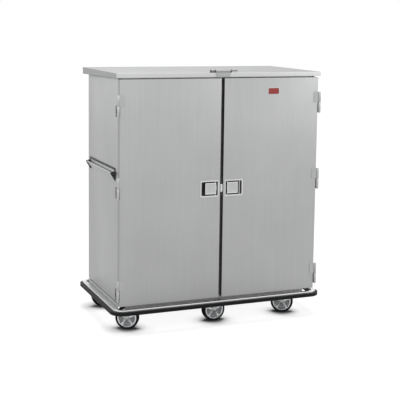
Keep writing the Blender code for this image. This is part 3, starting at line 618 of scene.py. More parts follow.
def screwTree():
    # one head on each point, turned to its facing and spun at random
    tree, group, output = startTree("screwSet", {"Head": "Object", "Size": "Float", "Seed": "Int"})
    head = tree.nodes.new("GeometryNodeObjectInfo")
    kind = {"data_type": "FLOAT_VECTOR"}
    facing = addNode(tree, "GeometryNodeInputNamedAttribute", {"Name": "facing"}, kind)
    align = addNode(tree, "FunctionNodeAlignRotationToVector", settings={"axis": "Z"})
    spin = addNode(tree, "FunctionNodeRandomValue", {"Max": (0.0, 0.0, fullTurn)}, kind)
    turn = addNode(tree, "FunctionNodeRotateRotation", settings={"rotation_space": "LOCAL"})
    place = tree.nodes.new("GeometryNodeInstanceOnPoints")
    points = addNode(tree, "GeometryNodeMeshToPoints")
    connect(
        tree,
        (group, "Head", head, "Object"),
        (facing, "Attribute", align, "Vector"),
        (group, "Seed", spin, "Seed"),
        (align, "Rotation", turn, "Rotation"),
        (spin, "Value", turn, "Rotate By"),
        (group, "Geometry", points, "Mesh"),
        (points, 0, place, "Points"),
        (head, "Geometry", place, "Instance"),
        (turn, "Rotation", place, "Rotation"),
        (group, "Size", place, "Scale"),
    )
    return endTree(tree, place.outputs[0], group, output)


def sweepTree():
    # a profile carried round a rounded rectangle
    inputs = {label: "Float" for label in ("Length", "Width", "Corner Radius")}
    inputs.update({"Corner Points": "Int", "Profile": "Object"})
    tree, group, output = startTree("roundedFrameSweep", inputs)
    path = addNode(tree, "GeometryNodeCurvePrimitiveQuadrilateral", settings={"mode": "RECTANGLE"})
    fillet = addNode(tree, "GeometryNodeFilletCurve", settings={"mode": "POLY"})
    upright = addNode(tree, "GeometryNodeSetCurveNormal", settings={"mode": "Z_UP"})
    profile = tree.nodes.new("GeometryNodeObjectInfo")
    sweep = tree.nodes.new("GeometryNodeCurveToMesh")
    connect(
        tree,
        (group, "Length", path, "Width"),
        (group, "Width", path, "Height"),
        (path, 0, fillet, "Curve"),
        (group, "Corner Radius", fillet, "Radius"),
        (group, "Corner Points", fillet, "Count"),
        (fillet, 0, upright, "Curve"),
        (group, "Profile", profile, "Object"),
        (upright, 0, sweep, "Curve"),
        (profile, "Geometry", sweep, "Profile Curve"),
    )
    return endTree(tree, sweep.outputs[0], group, output)


def spokeTree():
    # one spoke repeated about the Y axis
    tree, group, output = startTree("spokeRing", {"Spoke": "Object", "Count": "Int"})
    points = tree.nodes.new("GeometryNodePoints")
    number = tree.nodes.new("GeometryNodeInputIndex")
    share = addNode(tree, "ShaderNodeMath", settings={"operation": "DIVIDE"})
    angle = addNode(tree, "ShaderNodeMath", {1: 2 * math.pi}, {"operation": "MULTIPLY"})
    turn = tree.nodes.new("ShaderNodeCombineXYZ")
    spoke = tree.nodes.new("GeometryNodeObjectInfo")
    place = tree.nodes.new("GeometryNodeInstanceOnPoints")
    connect(
        tree,
        (group, "Count", points, "Count"),
        (number, 0, share, 0),
        (group, "Count", share, 1),
        (share, 0, angle, 0),
        (angle, 0, turn, "Y"),
        (group, "Spoke", spoke, "Object"),
        (points, 0, place, "Points"),
        (spoke, "Geometry", place, "Instance"),
        (turn, 0, place, "Rotation"),
    )
    return endTree(tree, place.outputs[0], group, output)


screwNodes = screwTree()
sweepNodes = sweepTree()
spokeNodes = spokeTree()


def profileCurve(name, points):
    # a closed outline: X outwards, Y up
    curve = bpy.data.curves.new(name, "CURVE")
    curve.dimensions = "2D"
    spline = curve.splines.new("POLY")
    spline.points.add(len(points) - 1)
    for point, (out, up) in zip(spline.points, points):
        point.co = (out, -up, 0, 1)
    spline.use_cyclic_u = True
    return heldObject(name, curve)


def sweptFrame(name, size, look, outline, finish):
    profile = profileCurve(name + "Outline", outline)
    values = {
        "Length": size[0],
        "Width": size[1],
        "Corner Radius": look["corner"],
        "Corner Points": look["cornerPoints"],
        "Profile": profile,
        "Finish": finish,
    }
    mesh = growMesh(name, sweepNodes, values)
    bpy.data.objects.remove(profile)
    bm = bmesh.new()
    bm.from_mesh(mesh)
    bmesh.ops.remove_doubles(bm, verts=bm.verts, dist=1e-6)
    bmesh.ops.recalc_face_normals(bm, faces=bm.faces)
    bm.to_mesh(mesh)
    bm.free()
    return mesh


# bumper: folded steel rail and its vinyl strip

bumperLook = {
    "corner": 0.065,
    "cornerPoints": 20,
    "railSheet": 0.0025,
    "railFold": 0.0035,       # outer radius of the rail's top fold
    "foldSteps": 6,
    "flange": 0.026,
    "ribDip": 0.0032,
    "beadShare": 0.24,        # of the strip's height
    "outerBead": 0.75,
    "middleBead": 0.42,
    "middleDrop": 0.35,
    "beadFlat": 0.55,
    "beadSteps": 6,
    "backGap": 0.0003,
}


def makeBumper(look):
    low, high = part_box("bumper_rail")
    length, width = high.x - low.x, high.y - low.y
    sheet, fold, inward = look["railSheet"], look["railFold"], look["flange"]
    bottom, top, near = low.z, high.z, fold * bevelMiddle
    quarter = quarterTurn(look["foldSteps"])
    outline = [(-fold + fold * out, top - fold + fold * up) for out, up in quarter]
    # in along the top flange, down the inside, out along the bottom flange
    outline += [(-inward, top), (-inward, top - sheet), (-fold, top - sheet), (-sheet, top - fold)]
    outline += [(-sheet, bottom + fold), (-fold, bottom + sheet), (-inward, bottom + sheet)]
    outline += [(-inward, bottom), (-fold, bottom), (-near, bottom + near), (0, bottom + fold)]
    rail = sweptFrame("bumperRail", (length, width), look, outline, railSteel)
    # painted shade: the flat top gets a darker copy of its steel along the two sides, which catch less light than
    # the front
    straight = width / 2 - look["corner"]
    for face in rail.polygons:
        onSide = abs(face.center.y) < straight and abs(face.center.x) > length / 2 - inward
        face.material_index = 1 if onSide and face.normal.z > squareOn else 0
    standIn(rail, "bumper_rail", (railSteel, flangeSteel), sharp=30)

    # the strip: three ribs, the middle one smaller and further back
    low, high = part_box("bumper_vinyl")
    depth = (high.x - low.x - length) / 2
    top, bottom, dip, steps = high.z, low.z, look["ribDip"], look["beadSteps"]
    bead = (top - bottom) * look["beadShare"]
    outerBead = bead * look["outerBead"]
    ribs = (
        (top - outerBead, outerBead, depth),
        ((top + bottom) / 2, bead * look["middleBead"], depth - dip * look["middleDrop"]),
        (bottom + outerBead, outerBead, depth),
    )
    outline = [(look["backGap"], top), (depth - dip, top)]
    for centre, radius, reach in ribs:
        flat = radius * look["beadFlat"]
        for k in range(steps + 1):
            a = math.pi / 2 - math.pi * k / steps
            outline.append((reach - flat + flat * math.cos(a), centre + radius * math.sin(a)))
    outline += [(depth - dip, bottom), (look["backGap"], bottom)]
    vinyl = sweptFrame("bumperVinyl", (length, width), look, outline, blackVinyl)
    standIn(vinyl, "bumper_vinyl", sharp=50)


makeBumper(bumperLook)
print("bumper ready")


# wheels

wheelLook = {
    "radius": 0.0762,
    "halfWidth": 0.025,
    "bore": 0.0620,
    "steps": 72,
    # tyre: out from the bore or in from the tread, and in from the side
    "bead": ((0, 0.0048), (0.0012, 0.0030), (0.0026, 0.0020), (0.0034, 0.0022), (0.0042, 0.0012)),
    "shoulder": (
        (0.0068, 0), (0.0046, 0.0006), (0.0026, 0.0023),
        (0.0011, 0.0050), (0.0003, 0.0090), (0, 0.0140),
    ),
    # core: in from the bore, and half the width there
    "boreGap": 0.0001,
    "lip": (
        (0, 0.0195), (0, 0.0218), (0.0008, 0.0229), (0.0074, 0.0229),
        (0.0085, 0.0218), (0.0092, 0.0180), (0.0110, 0.0090), (0.0120, 0.0050),
    ),
    "naveSteps": 36,
    "nave": (
        (0.0064, 0.02575), (0.0098, 0.02575), (0.0102, 0.02455), (0.0118, 0.02455), (0.0122, 0.02575),
        (0.0150, 0.02575), (0.0163, 0.02475), (0.0178, 0.01925), (0.0192, 0.01075), (0.0200, 0.0045),
    ),
    "web": ((0.0180, 0.0030), (0.0210, 0.0030), (0.0530, 0.0025), (0.0545, 0.0030)),
    # spokes: height, half width, half depth
    "spokes": 5,
    "spoke": (
        (0.0155, 0.0078, 0.0170),
        (0.0300, 0.0058, 0.0145),
        (0.0450, 0.0056, 0.0125),
        (0.0560, 0.0085, 0.0130),
    ),
    "spokeRound": 0.0022,
}


def makeTyre(look):
    # round shoulders, a fine bead line on each wall
    r, w, bore = look["radius"], look["halfWidth"], look["bore"]
    side = [(bore + out, w - back) for out, back in look["bead"]]
    side += [(r - inset, w - back) for inset, back in look["shoulder"]]
    return turnedShape(mirrored(side), look["steps"])


def makeSpoke(look):
    square = ((1, -1), (1, 1), (-1, 1), (-1, -1))
    rings = [[(x * wide, y * deep, height) for x, y in square] for height, wide, deep in look["spoke"]]
    spoke = loftedShape(rings)
    softenEdges(spoke, edgesAlong(spoke, 2, 0.001), look["spokeRound"], segments=3, clamp=True)
    return spoke


def makeCore(look):
    bore = look["bore"] - look["boreGap"]
    rim = turnedShape(mirrored([(bore - inset, y) for inset, y in look["lip"]]), look["steps"])
    nave = turnedShape(mirrored(look["nave"]), look["naveSteps"])
    web = turnedShape(mirrored(look["web"]), look["steps"])
    pattern = heldObject("spokePattern", meshOf(makeSpoke(look), "spokePattern"))
    values = {"Spoke": pattern, "Count": look["spokes"], "Finish": castCore}
    ring = bmesh.new()
    mesh = growMesh("spokeRing", spokeNodes, values)
    ring.from_mesh(mesh)
    bpy.data.objects.remove(pattern)
    bpy.data.meshes.remove(mesh)
    # painted shade: the web between the spokes gets coreShade, a darker copy of the cast metal, for the shade deep
    # in the wheel
    return joined([(rim, None, 0), (nave, None, 0), (web, None, 1), (ring, None, 0)], "coreShape")


def makeWheels(look):
    shapes = (
        ("tyre", meshOf(makeTyre(look), "tyreShape"), (tyreRubber,)),
        ("core", makeCore(look), (castCore, coreShade)),
    )
    for label in corners + rigidWheels:
        joint = jointOf("wheel_" + label + "_spin")
        axis = Vector(joint["axis"])
        across = Vector((0, 0, 1))
        along = axis.cross(across).normalized()
        turn = Matrix((along, axis, across)).transposed().to_4x4()
        place = Matrix.Translation(joint["pos_m"]) @ turn
        for part, source, finishes in shapes:
            mesh = source.copy()
            mesh.name = "wheel_" + label + "_" + part
            mesh.transform(place)
            standIn(mesh, "wheel_" + part + "_" + label, finishes, sharp=32)
    for part, source, finishes in shapes:
        bpy.data.meshes.remove(source)


makeWheels(wheelLook)
print("wheels ready")


# screws, bolts and rivets, set by the screw tree

headLook = {
    "screw": {
        "radius": 0.0042,
        "rise": 0.0017,
        "crossHalf": 0.0005,
        "crossArm": 0.0022,
        "crossDepth": 0.0010,
    },
    "rivet": {"radius": 0.0032, "rise": 0.0011},
    "domeFlat": 0.42,         # share of the radius that the dome doesn't round
    "domeSteps": 20,
    "domeRings": 4,
    "hex": {
        "sides": 6,
        "acrossHalf": 0.0098,
        "rise": 0.0052,
        # shares of the corner radius and of the rise
        "nut": ((1.0, 0.86), (0.90, 1.0), (0.42, 1.0), (0.40, 0.90), (0.0, 0.90)),
        "washer": ((0.0, 0.0), (0.0112, 0.0), (0.0112, 0.0007), (0.010752, 0.0010), (0.0, 0.0010)),
        "washerRise": 0.0010,
        "washerSteps": 24,
    },
}


def domedHead(look):
    # a pan head: domed disc with a flat seat at zero, along Z
    radius, rise, flat = look["radius"], look["rise"], headLook["domeFlat"]
    quarter = quarterTurn(headLook["domeRings"])
    profile = [(radius * (flat + (1 - flat) * out), rise * up) for out, up in quarter]
    profile = [(0.0, 0.0), *profile, (0.0, rise)]
    shape = turnedShape(profile, headLook["domeSteps"], closed=False)
    bmesh.ops.transform(shape, matrix=aboutX, verts=shape.verts)
    return shape


def crossHead(look):
    half, arm, depth, rise = look["crossHalf"], look["crossArm"], look["crossDepth"], look["rise"]
    quarter = ((arm, half), (half, half), (half, arm))
    plus = [Matrix.Rotation(math.pi / 2 * k, 2) @ Vector(point) for k in range(4) for point in quarter]
    cutter = loftedShape([[(x, y, z) for x, y in plus] for z in (rise - depth, rise + depth)])
    return carved("screwHead", domedHead(look), [cutter])


def hexHead(look):
    reach = look["acrossHalf"] / math.cos(math.pi / look["sides"])
    profile = [(0.0, look["washerRise"]), (reach, look["washerRise"])]
    profile += [(reach * out, look["rise"] * up) for out, up in look["nut"]]
    nut = turnedShape(profile, look["sides"], closed=False)
    washer = turnedShape(look["washer"], look["washerSteps"], closed=False)
    return joined([(nut, aboutX, None), (washer, aboutX, None)], "hexHead")


headMeshes = {
    "screw": crossHead(headLook["screw"]),
    "rivet": meshOf(domedHead(headLook["rivet"]), "rivetHead"),
    "hex": hexHead(headLook["hex"]),
}


def setHeads(name, kind, body, places, finish, seed, size=1.0):
    # places are (point, facing)
    pattern = heldObject(kind + "Pattern", headMeshes[kind])
    carrier = bpy.data.meshes.new(name + "Points")
    carrier.from_pydata([tuple(point) for point, facing in places], [], [])
    facings = carrier.attributes.new("facing", "FLOAT_VECTOR", "POINT")
    for row, (point, facing) in zip(facings.data, places):
        row.vector = facing
    values = {"Head": pattern, "Size": size, "Seed": seed, "Finish": finish}
    mesh = growMesh(name, screwNodes, values, carrier)
    bpy.data.objects.remove(pattern)
    addPiece(mesh, body, sharp=40)


# latches: pressed cups, paddles and the strike between them

latchLook = {
    # finish 1 is a brighter steel on the rims and rounded edges, a painted highlight; finish 2 in the cup is black
    # deep in the recess, a painted shade
    # inset from the edge, corner radius, measured from, offset, finish
    "cup": (
        (0.0110, 0.0080, "back", 0.0, 0),
        (0.0074, 0.0080, "back", -0.0016, 0),
        (0.0070, 0.0060, "front", 0.0020, 0),
        (0.0, 0.0045, "front", 0.0020, 1),
        (0.0, 0.0045, "front", 0.0009, 1),
        (0.0003, 0.0045, "front", 0.0003, 1),
        (0.0010, 0.0045, "front", 0.0, 1),
        (0.0062, 0.0036, "front", 0.0, 1),
        (0.0076, 0.00405, "front", 0.0004, 1),
        (0.00858, 0.0045, "front", 0.0013, 0),
        (0.0090, 0.0045, "front", 0.0028, 0),
        (0.0094, 0.00495, "back", -0.0062, 2),
        (0.0106, 0.00585, "back", -0.0034, 2),
        (0.0132, 0.0072, "back", -0.0021, 2),
        (0.0160, 0.00765, "back", -0.0020, 2),
    ),
    "recessSide": 0.0160,     # bright part of the recess, in from the outer edge
    "paddle": (
        (0.0006, 0.0030, "front", 0.0040, 1),
        (0.0, 0.0030, "front", 0.0034, 1),
        (0.0, 0.0030, "front", 0.0016, 1),
        (0.0003, 0.0030, "front", 0.0009, 1),
        (0.0026, 0.0036, "front", 0.0001, 1),
        (0.0038, 0.0038, "front", 0.0, 1),
        (0.0056, 0.0034, "front", 0.0, 0),
        (0.0066, 0.0032, "front", 0.00035, 0),
        (0.0078, 0.0030, "front", 0.0007, 0),
    ),
    "paddleThickness": 0.0040,
    "paddleHeight": 0.0740,
    "lipDepth": 0.0060,
    "lipSheet": 0.0016,
    "lipShort": 0.0040,       # at each end
    "lipOverlap": 0.0010,
    "lipRound": 0.0005,
    "rodRadius": 0.0025,
    "rodShort": 0.0012,
    "rodRound": 0.0004,
    "rodSteps": 24,
    "screwFromEdge": 0.0044,
    "screwFromMiddle": 0.0455,
    "strikeSheet": 0.0025,
    "strike": (
        (0.0, 0.0030, "back", 0.0, 0),
        (0.0, 0.0030, "front", 0.0007, 0),
        (0.0007, 0.0025, "front", 0.0, 0),
    ),
    "noseHalf": (0.0085, 0.0265),
    "noseCorner": 0.0075,
    "noseRound": 0.0040,
    "noseSeat": 0.0010,
    "noseSteps": 6,
    "strikeScrew": 0.0475,
}


def makeCup(side, label, look):
    low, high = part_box("latch_cup_" + label)
    centre, half = frontOf(low, high)
    cup = pressedPlate(look["cup"], centre, half, {"front": low.y, "back": high.y})
    # painted shade: the deep recess is painted black, except along its outer side, where light falls in past the
    # paddle and the steel shows
    for face in cup.faces:
        outer = side * (face.calc_center_median().x - centre[0]) > half[0] - look["recessSide"]
        if outer and face.material_index == 2:
            face.material_index = 0
    mesh = meshOf(cup, "latchCup_" + label)
    # painted highlight on the rims (second finish), painted shade in the recess (third finish)
    standIn(mesh, "latch_cup_" + label, (latchSteel, edgeSteel, blackPlastic), sharp=30)


def makePaddle(side, label, look):
    low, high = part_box("latch_paddle_" + label)
    centre, half = frontOf(low, high)
    thick, halfZ = look["paddleThickness"], look["paddleHeight"] / 2
    plate = pressedPlate(look["paddle"], centre, (half[0], halfZ), {"front": low.y})
    rod = rodShape(look["rodRadius"], half[1] - look["rodShort"], look["rodRound"], look["rodSteps"])
    pivot = Matrix.Translation(jointOf("paddle_" + label + "_pivot")["pos_m"]) @ aboutX
    free = side * max(abs(low.x), abs(high.x))
    lipX = sorted((free, free - side * look["lipSheet"]))
    tall = halfZ - look["lipShort"]
    lip = boxShape(
        (lipX[0], low.y + thick - look["lipOverlap"], centre[2] - tall),
        (lipX[1], low.y + thick + look["lipDepth"], centre[2] + tall),
        look["lipRound"],
    )
    mesh = joined([(plate, None, None), (rod, pivot, 0), (lip, None, 0)], "latchPaddle_" + label)
    # painted highlight: the paddle's rounded edges get the brighter second finish
    standIn(mesh, "latch_paddle_" + label, (latchSteel, edgeSteel), sharp=30)


def makeStrike(look):
    low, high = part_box("latch_strike")
    centre, half = frontOf(low, high)
    front = high.y - look["strikeSheet"]
    plate = pressedPlate(look["strike"], centre, half, {"front": front, "back": high.y})
    (wide, tall), corner = look["noseHalf"], look["noseCorner"]
    soft = look["noseRound"]
    loops = [(wide, tall, corner, front + look["noseSeat"])]
    for out, up in quarterTurn(look["noseSteps"]):
        inset = soft * (1 - out)
        loops.append((wide - inset, tall - inset, corner - inset, low.y + soft * (1 - up)))
    nose = pressedShape(loops, centre, steps=8)
    mesh = joined([(plate, None, None), (nose, None, None)], "latchStrike")
    standIn(mesh, "latch_strike", (chromeNose,), sharp=30)
    rows = [((0, front, centre[2] + end * look["strikeScrew"]), (0, -1, 0)) for end in (-1, 1)]
    setHeads("strikeScrews", "screw", "cart_body", rows, zincSteel, seed=5, size=0.85)


def makeLatches(look):
    for side, label in sides:
        makeCup(side, label, look)
        makePaddle(side, label, look)
    makeStrike(look)
    low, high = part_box("latch_cup_left")
    middle = (low.z + high.z) / 2
    inner = high.x - look["screwFromEdge"]
    rows = [((inner, low.y, middle + end * look["screwFromMiddle"]), (0, -1, 0)) for end in (-1, 1)]
    setHeads("bezelScrews", "screw", "door_left", rows, darkSteel, seed=7, size=0.62)


makeLatches(latchLook)
print("latches ready")


# name plate: red field inside a thin steel border

plateLook = {
    "corner": 0.009,
    "cornerLoss": 0.7,        # the most that its radius shrinks by, as a share
    "roundSteps": 10,
    # inset from the edge, measured from, offset, finish
    "rows": (
        (0.0, "back", 0.0, 0),
        (0.0, "front", 0.0006, 0),
        (0.0002, "front", 0.0002, 0),
        (0.0006, "front", 0.0, 0),
        (0.0022, "front", 0.0, 0),
        (0.0026, "front", 0.00042, 1),
        (0.0029, "front", 0.0007, 1),
        (0.0038, "front", 0.0006, 1),
        (0.0086, "front", 0.0004, 1),
    ),
}


def makeNamePlate(look):
    low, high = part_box("name_plate")
    corner, most = look["corner"], look["corner"] * look["cornerLoss"]
    rows = [(row[0], corner - min(row[0], most), *row[1:]) for row in look["rows"]]
    ends = {"front": low.y, "back": high.y}
    plate = pressedPlate(rows, *frontOf(low, high), ends, look["roundSteps"])
    standIn(meshOf(plate, "namePlate"), "name_plate", (edgeSteel, redEnamel), sharp=40)


makeNamePlate(plateLook)


# doors: folded skins, gaskets and hinges

doorLook = {
    "barrelReach": 0.019,     # side of the door to the outside of the barrels
    "barrelProud": 0.011,     # face of the door to the front of the barrels
    "sheet": 0.0015,
    "foldRound": 0.0022,
    "foldSteps": 4,
    "windowInset": 0.0067,    # latch window inside the bezel's edge
    "boltRoom": (0.004, 0.0004, 0.0004),
}
gasketLook = {
    "corner": 0.016,
    "cornerPoints": 8,
    "width": 0.012,
    "base": 0.0012,
    "edgeShare": 0.8,         # height of the base at its edges
    "bulbShare": 0.30,        # half the bulb's width, of the whole width
    "footShare": 1.15,        # where the bulb meets the base, of half its width
    "bulbSteps": 8,
}
hingeLook = {
    "radius": 0.008,
    "halfLength": 0.069,
    "bore": 0.0043,
    "barrelRound": 0.0012,
    "barrelSteps": 40,
    "pinRadius": 0.004,
    "pinRound": 0.0008,
    "pinSteps": 24,
    "capRise": 0.0022,
    "capWider": 0.0012,       # than the bore
    "washer": 0.0003,
    "reach": 0.030,
    "leafSheet": 0.0029,
    # inset from the edge, corner radius, measured from, offset, finish
    "leaf": (
        (0.0, 0.0035, "back", 0.0006, 0),
        (0.0, 0.0035, "front", 0.0006, 0),
        (0.0006, 0.0035, "front", 0.0, 0),
    ),
    "leafSteps": 5,
    "strapGap": 0.0025,
    "strapSheet": 0.0025,
    "strapRound": 0.0006,
    "padLength": 0.020,
    "screwSpread": 0.042,
}


def doorBounds(label):
    # the folded skin alone, without the hinge leaves that stand past it
    low, high = [corner.copy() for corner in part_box("door_shell_" + label)]
    low.y += doorLook["barrelProud"]
    if label == "left":
        low.x += doorLook["barrelReach"]
    else:
        high.x -= doorLook["barrelReach"]
    return low, high


def makeSkin(label, look):
    low, high = doorBounds(label)
    sheet = look["sheet"]
    middle = (low + high) / 2
    shell = boxShape(low, high)
    front = [e for e in shell.edges if all(v.co.y < middle.y for v in e.verts)]
    rising = edgesAlong(shell, 1, middle.y - low.y)
    softenEdges(shell, front + rising, look["foldRound"], look["foldSteps"])
    hollow = boxShape(low + Vector((sheet, sheet, sheet)), high + Vector((-sheet, sheet, -sheet)))
    cupLow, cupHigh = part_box("latch_cup_" + label)
    inset = Vector((look["windowInset"], 0, look["windowInset"]))
    window = boxShape(cupLow + inset, cupHigh - inset)
    boltLow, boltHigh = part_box("latch_bolt_" + label)
    room = Vector(look["boltRoom"])
    slot = boxShape(boltLow - room, boltHigh + room)
    mesh = carved("doorSkin_" + label, shell, (hollow, window, slot))
    # painted shade: the edge that meets the other door is painted dark for the shade in the gap, and the hinge
    # side gets a darker copy of the steel for the shade along its seam
    inward = -1 if middle.x > 0 else 1
    for face in mesh.polygons:
        facing = face.normal.x * inward
        face.material_index = 1 if facing > squareOn else 2 if facing < -squareOn else 0
    standIn(mesh, "door_shell_" + label, (doorSteel, darkSteel, sideSteel), sharp=30)


def makeGasket(label, look):
    low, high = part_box("door_gasket_" + label)
    face, tip, wide, thick = -low.y, -high.y, look["width"], look["base"]
    edge, steps = face - thick * look["edgeShare"], look["bulbSteps"]
    middle, bulb = -wide / 2, wide * look["bulbShare"]
    foot = bulb * look["footShare"]
    outline = [(0, face), (-wide, face), (-wide, edge), (middle - foot, face - thick)]
    for k in range(steps + 1):
        angle = math.pi * k / steps
        rise = thick + (face - tip - thick) * math.sin(angle)
        outline.append((middle - bulb * math.cos(angle), face - rise))
    outline += [(middle + foot, face - thick), (0, edge)]
    size = (high.x - low.x, high.z - low.z)
    mesh = sweptFrame("doorGasket_" + label, size, look, outline, gasketRubber)
    mesh.transform(Matrix.Translation(frontOf(low, high)[0]) @ aboutX)
    standIn(mesh, "door_gasket_" + label, sharp=40)


def upright(shape, axis, low, high):
    # a shape turned about Y, stood up on an axis between two heights
    return (shape, Matrix.Translation((axis.x, axis.y, (low + high) / 2)) @ aboutX, 0)


def barrelShape(low, high, look):
    soft, steps = look["barrelRound"], look["barrelSteps"]
    return rodShape(look["radius"], (high - low) / 2, soft, steps, look["bore"])


def doorHalf(side, edge, face, axis, middle, look):
    # the upper half of a hinge: its barrel and the leaf welded to the door's face
    top = middle + look["halfLength"]
    start = middle + look["washer"]
    near, far = sorted((edge - side * look["reach"], axis.x))
    half = ((far - near) / 2, look["halfLength"] / 2)
    ends = {"front": face - look["leafSheet"], "back": face}
    centre = ((near + far) / 2, 0, (middle + top) / 2)
    leaf = pressedPlate(look["leaf"], centre, half, ends, look["leafSteps"])
    return [upright(barrelShape(start, top, look), axis, start, top), (leaf, None, 1)]


def bodyHalf(side, edge, axis, low, high, look):
    # the lower half: barrel, pin with its cap, strap and the pad on the wall
    bottom, middle = low.z, low.z + look["halfLength"] - look["washer"]
    ends, steps, soft = look["pinRound"], look["pinSteps"], look["strapRound"]
    pin = rodShape(look["pinRadius"], (high.z - bottom) / 2, ends, steps)
    cap = rodShape(look["bore"] + look["capWider"], look["capRise"], ends, steps)
    inner = edge + side * look["strapGap"]
    outer = inner + side * look["strapSheet"]
    wall = high.x if side < 0 else low.x
    strapX, padX = sorted((inner, outer)), sorted((wall, outer))
    strap = boxShape((strapX[0], axis.y, bottom), (strapX[1], high.y, middle), soft)
    pad = boxShape((padX[0], high.y - look["padLength"], bottom), (padX[1], high.y, middle), soft)
    return [
        upright(barrelShape(bottom, middle, look), axis, bottom, middle),
        upright(pin, axis, bottom, high.z),
        upright(cap, axis, bottom, bottom),
        (strap, None, 0),
        (pad, None, 0),
    ]


def makeHinges(look):
    for side, label in sides:
        axis = Vector(jointOf("door_" + label + "_hinge")["pos_m"])
        doorLow, doorHigh = doorBounds(label)
        edge = doorLow.x if side < 0 else doorHigh.x
        face = edge + side * (look["strapGap"] + look["strapSheet"])
        doorParts, screws = [], []
        for number in (1, 2, 3):
            ending = "{}_{}".format(label, number)
            low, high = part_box("hinge_leaf_" + ending)
            middle = low.z + look["halfLength"]
            doorParts += doorHalf(side, edge, doorLow.y, axis, middle, look)
            mesh = joined(bodyHalf(side, edge, axis, low, high, look), "hingeLeaf_" + ending)
            standIn(mesh, "hinge_leaf_" + ending, (hingeSteel,))
            for step in (-1, 1):
                height = (low.z + middle) / 2 + step * look["screwSpread"] / 2
                screws.append(((face, high.y - look["padLength"] / 2, height), (side, 0, 0)))
        leaves = joined(doorParts, "doorLeaves_" + label)
        addPiece(leaves, "door_" + label, (hingeSteel, doorSteel))
        setHeads("hingeScrews_" + label, "screw", "cart_body", screws, zincSteel, seed=11, size=0.9)


for side, label in sides:
    makeSkin(label, doorLook)
    makeGasket(label, gasketLook)
makeHinges(hingeLook)
print("doors ready")


# top cap: one folded tray, shorter in front, with its front flange painted brighter: a painted highlight

capLook = {
    "sheet": 0.0020,
    "fold": 0.0030,
    "frontFlange": 0.029,
    "steps": 6,
    "cornerSteps": 5,
    "topRing": 3,             # folds from the edge to the flat of the top
    "frontShare": 0.3,        # faces that look forwards by more than this get the painted highlight
}


def makeCap(look):
    low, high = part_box("top_cap")
    halfX, halfY = (high.x - low.x) / 2, (high.y - low.y) / 2
    sheet, fold, quarter = look["sheet"], look["fold"], quarterTurn(look["steps"])
    inner, start = fold - sheet, high.z - fold
    rows = [(sheet + inner * 2, inner, high.z - sheet)]
    rows += [(sheet + inner * (1 - out), inner, start + inner * up) for out, up in reversed(quarter)]
    rows += [(sheet, inner, low.z), (0.0, fold, low.z)]
    rows += [(fold * (1 - out), fold, start + fold * up) for out, up in quarter]
    rows.append((fold * look["topRing"], fold, high.z))
    # the loft runs along Y, so its heights go in as places along Y and are swapped with Z after
    loops = [(halfX - inset, halfY - inset, radius, height) for inset, radius, height in rows]
    cap = pressedShape(loops, (0, 0, 0), look["cornerSteps"])
    # the front flange ends higher than the others
    raised, front = high.z - look["frontFlange"], low.y + sheet * 1.5
    for vert in cap.verts:
        x, height, y = vert.co
        y += (low.y + high.y) / 2
        vert.co = (x + (low.x + high.x) / 2, y, raised if y < front and height < raised else height)
    if cap.calc_volume(signed=True) < 0:
        bmesh.ops.reverse_faces(cap, faces=cap.faces)
    cap.normal_update()
    # painted highlight: faces that look forwards get the brighter steel, the rest of the cap keeps its own tone
    for face in cap.faces:
        face.material_index = 1 if face.normal.y < -look["frontShare"] else 0
    standIn(meshOf(cap, "topCap"), "top_cap", (capSteel, flangeSteel), sharp=40)


makeCap(capLook)
print("cap ready")


# handles: moulded black end frames with a folded steel grip between them

handleLook = {
    "frameRound": 0.0012,
    "gripRound": 0.0005,
    # corners of the holes: out from the wall, up from the foot of the end plates
    "hole": ((0.0050, 0.0165), (0.0158, 0.0335), (0.0050, 0.0335)),
    "holeRound": 0.0022,
    "holePast": 0.004,        # the cutter reaches past both ends
    "stripSheet": 0.004,
    "screwDrop": 0.0065,
    "screwCount": 4,
}


def makeHandles(look):
    for side, label in sides:
        node = "handle_frame_" + label
        low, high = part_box(node)
        wall = high.x if side < 0 else low.x
        ends = (low.y - look["holePast"], high.y + look["holePast"])
        hole = loftedShape([[(wall + side * x, y, low.z + z) for x, z in look["hole"]] for y in ends])
        softenEdges(hole, edgesAlong(hole, 1, 0.1), look["holeRound"], segments=4)
        mesh = carved("handleFrame_" + label, softenedCopy(node, look["frameRound"]), (hole,))
        standIn(mesh, node, (blackPlastic,))
        node = "handle_grip_" + label
        grip = meshOf(softenedCopy(node, look["gripRound"]), "handleGrip_" + label)
        standIn(grip, node, (gripSteel,))
        face = wall + side * look["stripSheet"]
        rows = []
        for k in range(look["screwCount"]):
            along = low.y + (high.y - low.y) * (k + 0.5) / look["screwCount"]
            rows.append(((face, along, high.z - look["screwDrop"]), (side, 0, 0)))
        setHeads("handleScrews_" + label, "screw", "cart_body", rows, darkSteel, seed=13, size=0.8)


makeHandles(handleLook)
print("handles ready")


# solids that only need their edges softened

doorNames = ("left", "right")
softenedSolids = [
    # start of the node's name, start of the piece's, their endings, rounding, finish
    ("transport_latch_plate", "transportPlate", ("",), 0.0005, doorSteel),
    ("latch_bolt_", "latchBolt_", doorNames, 0.0010, chromeNose),
    ("side_panel_", "sidePanel_", doorNames, 0.0009, wallSteel),
    ("back_panel", "backPanel", ("",), 0.0009, wallSteel),
    ("cabinet_floor", "cabinetFloor", ("",), 0.0008, innerSteel),
    ("door_liner_", "doorLiner_", doorNames, 0.0009, innerSteel),
]
for label in corners:
    softenedSolids.append(("caster_fork_", "casterFork_", (label,), 0.0010, zincSteel))
    softenedSolids.append(("caster_plate_", "casterPlate_", (label,), 0.0008, zincSteel))
softenedSolids.append(("caster_fork_", "casterFork_", rigidWheels, 0.0010, zincSteel))

for nodeStart, pieceStart, endings, width, finish in softenedSolids:
    for ending in endings:
        node = nodeStart + ending
        standIn(meshOf(softenedCopy(node, width), pieceStart + ending), node, (finish,), sharp=32)

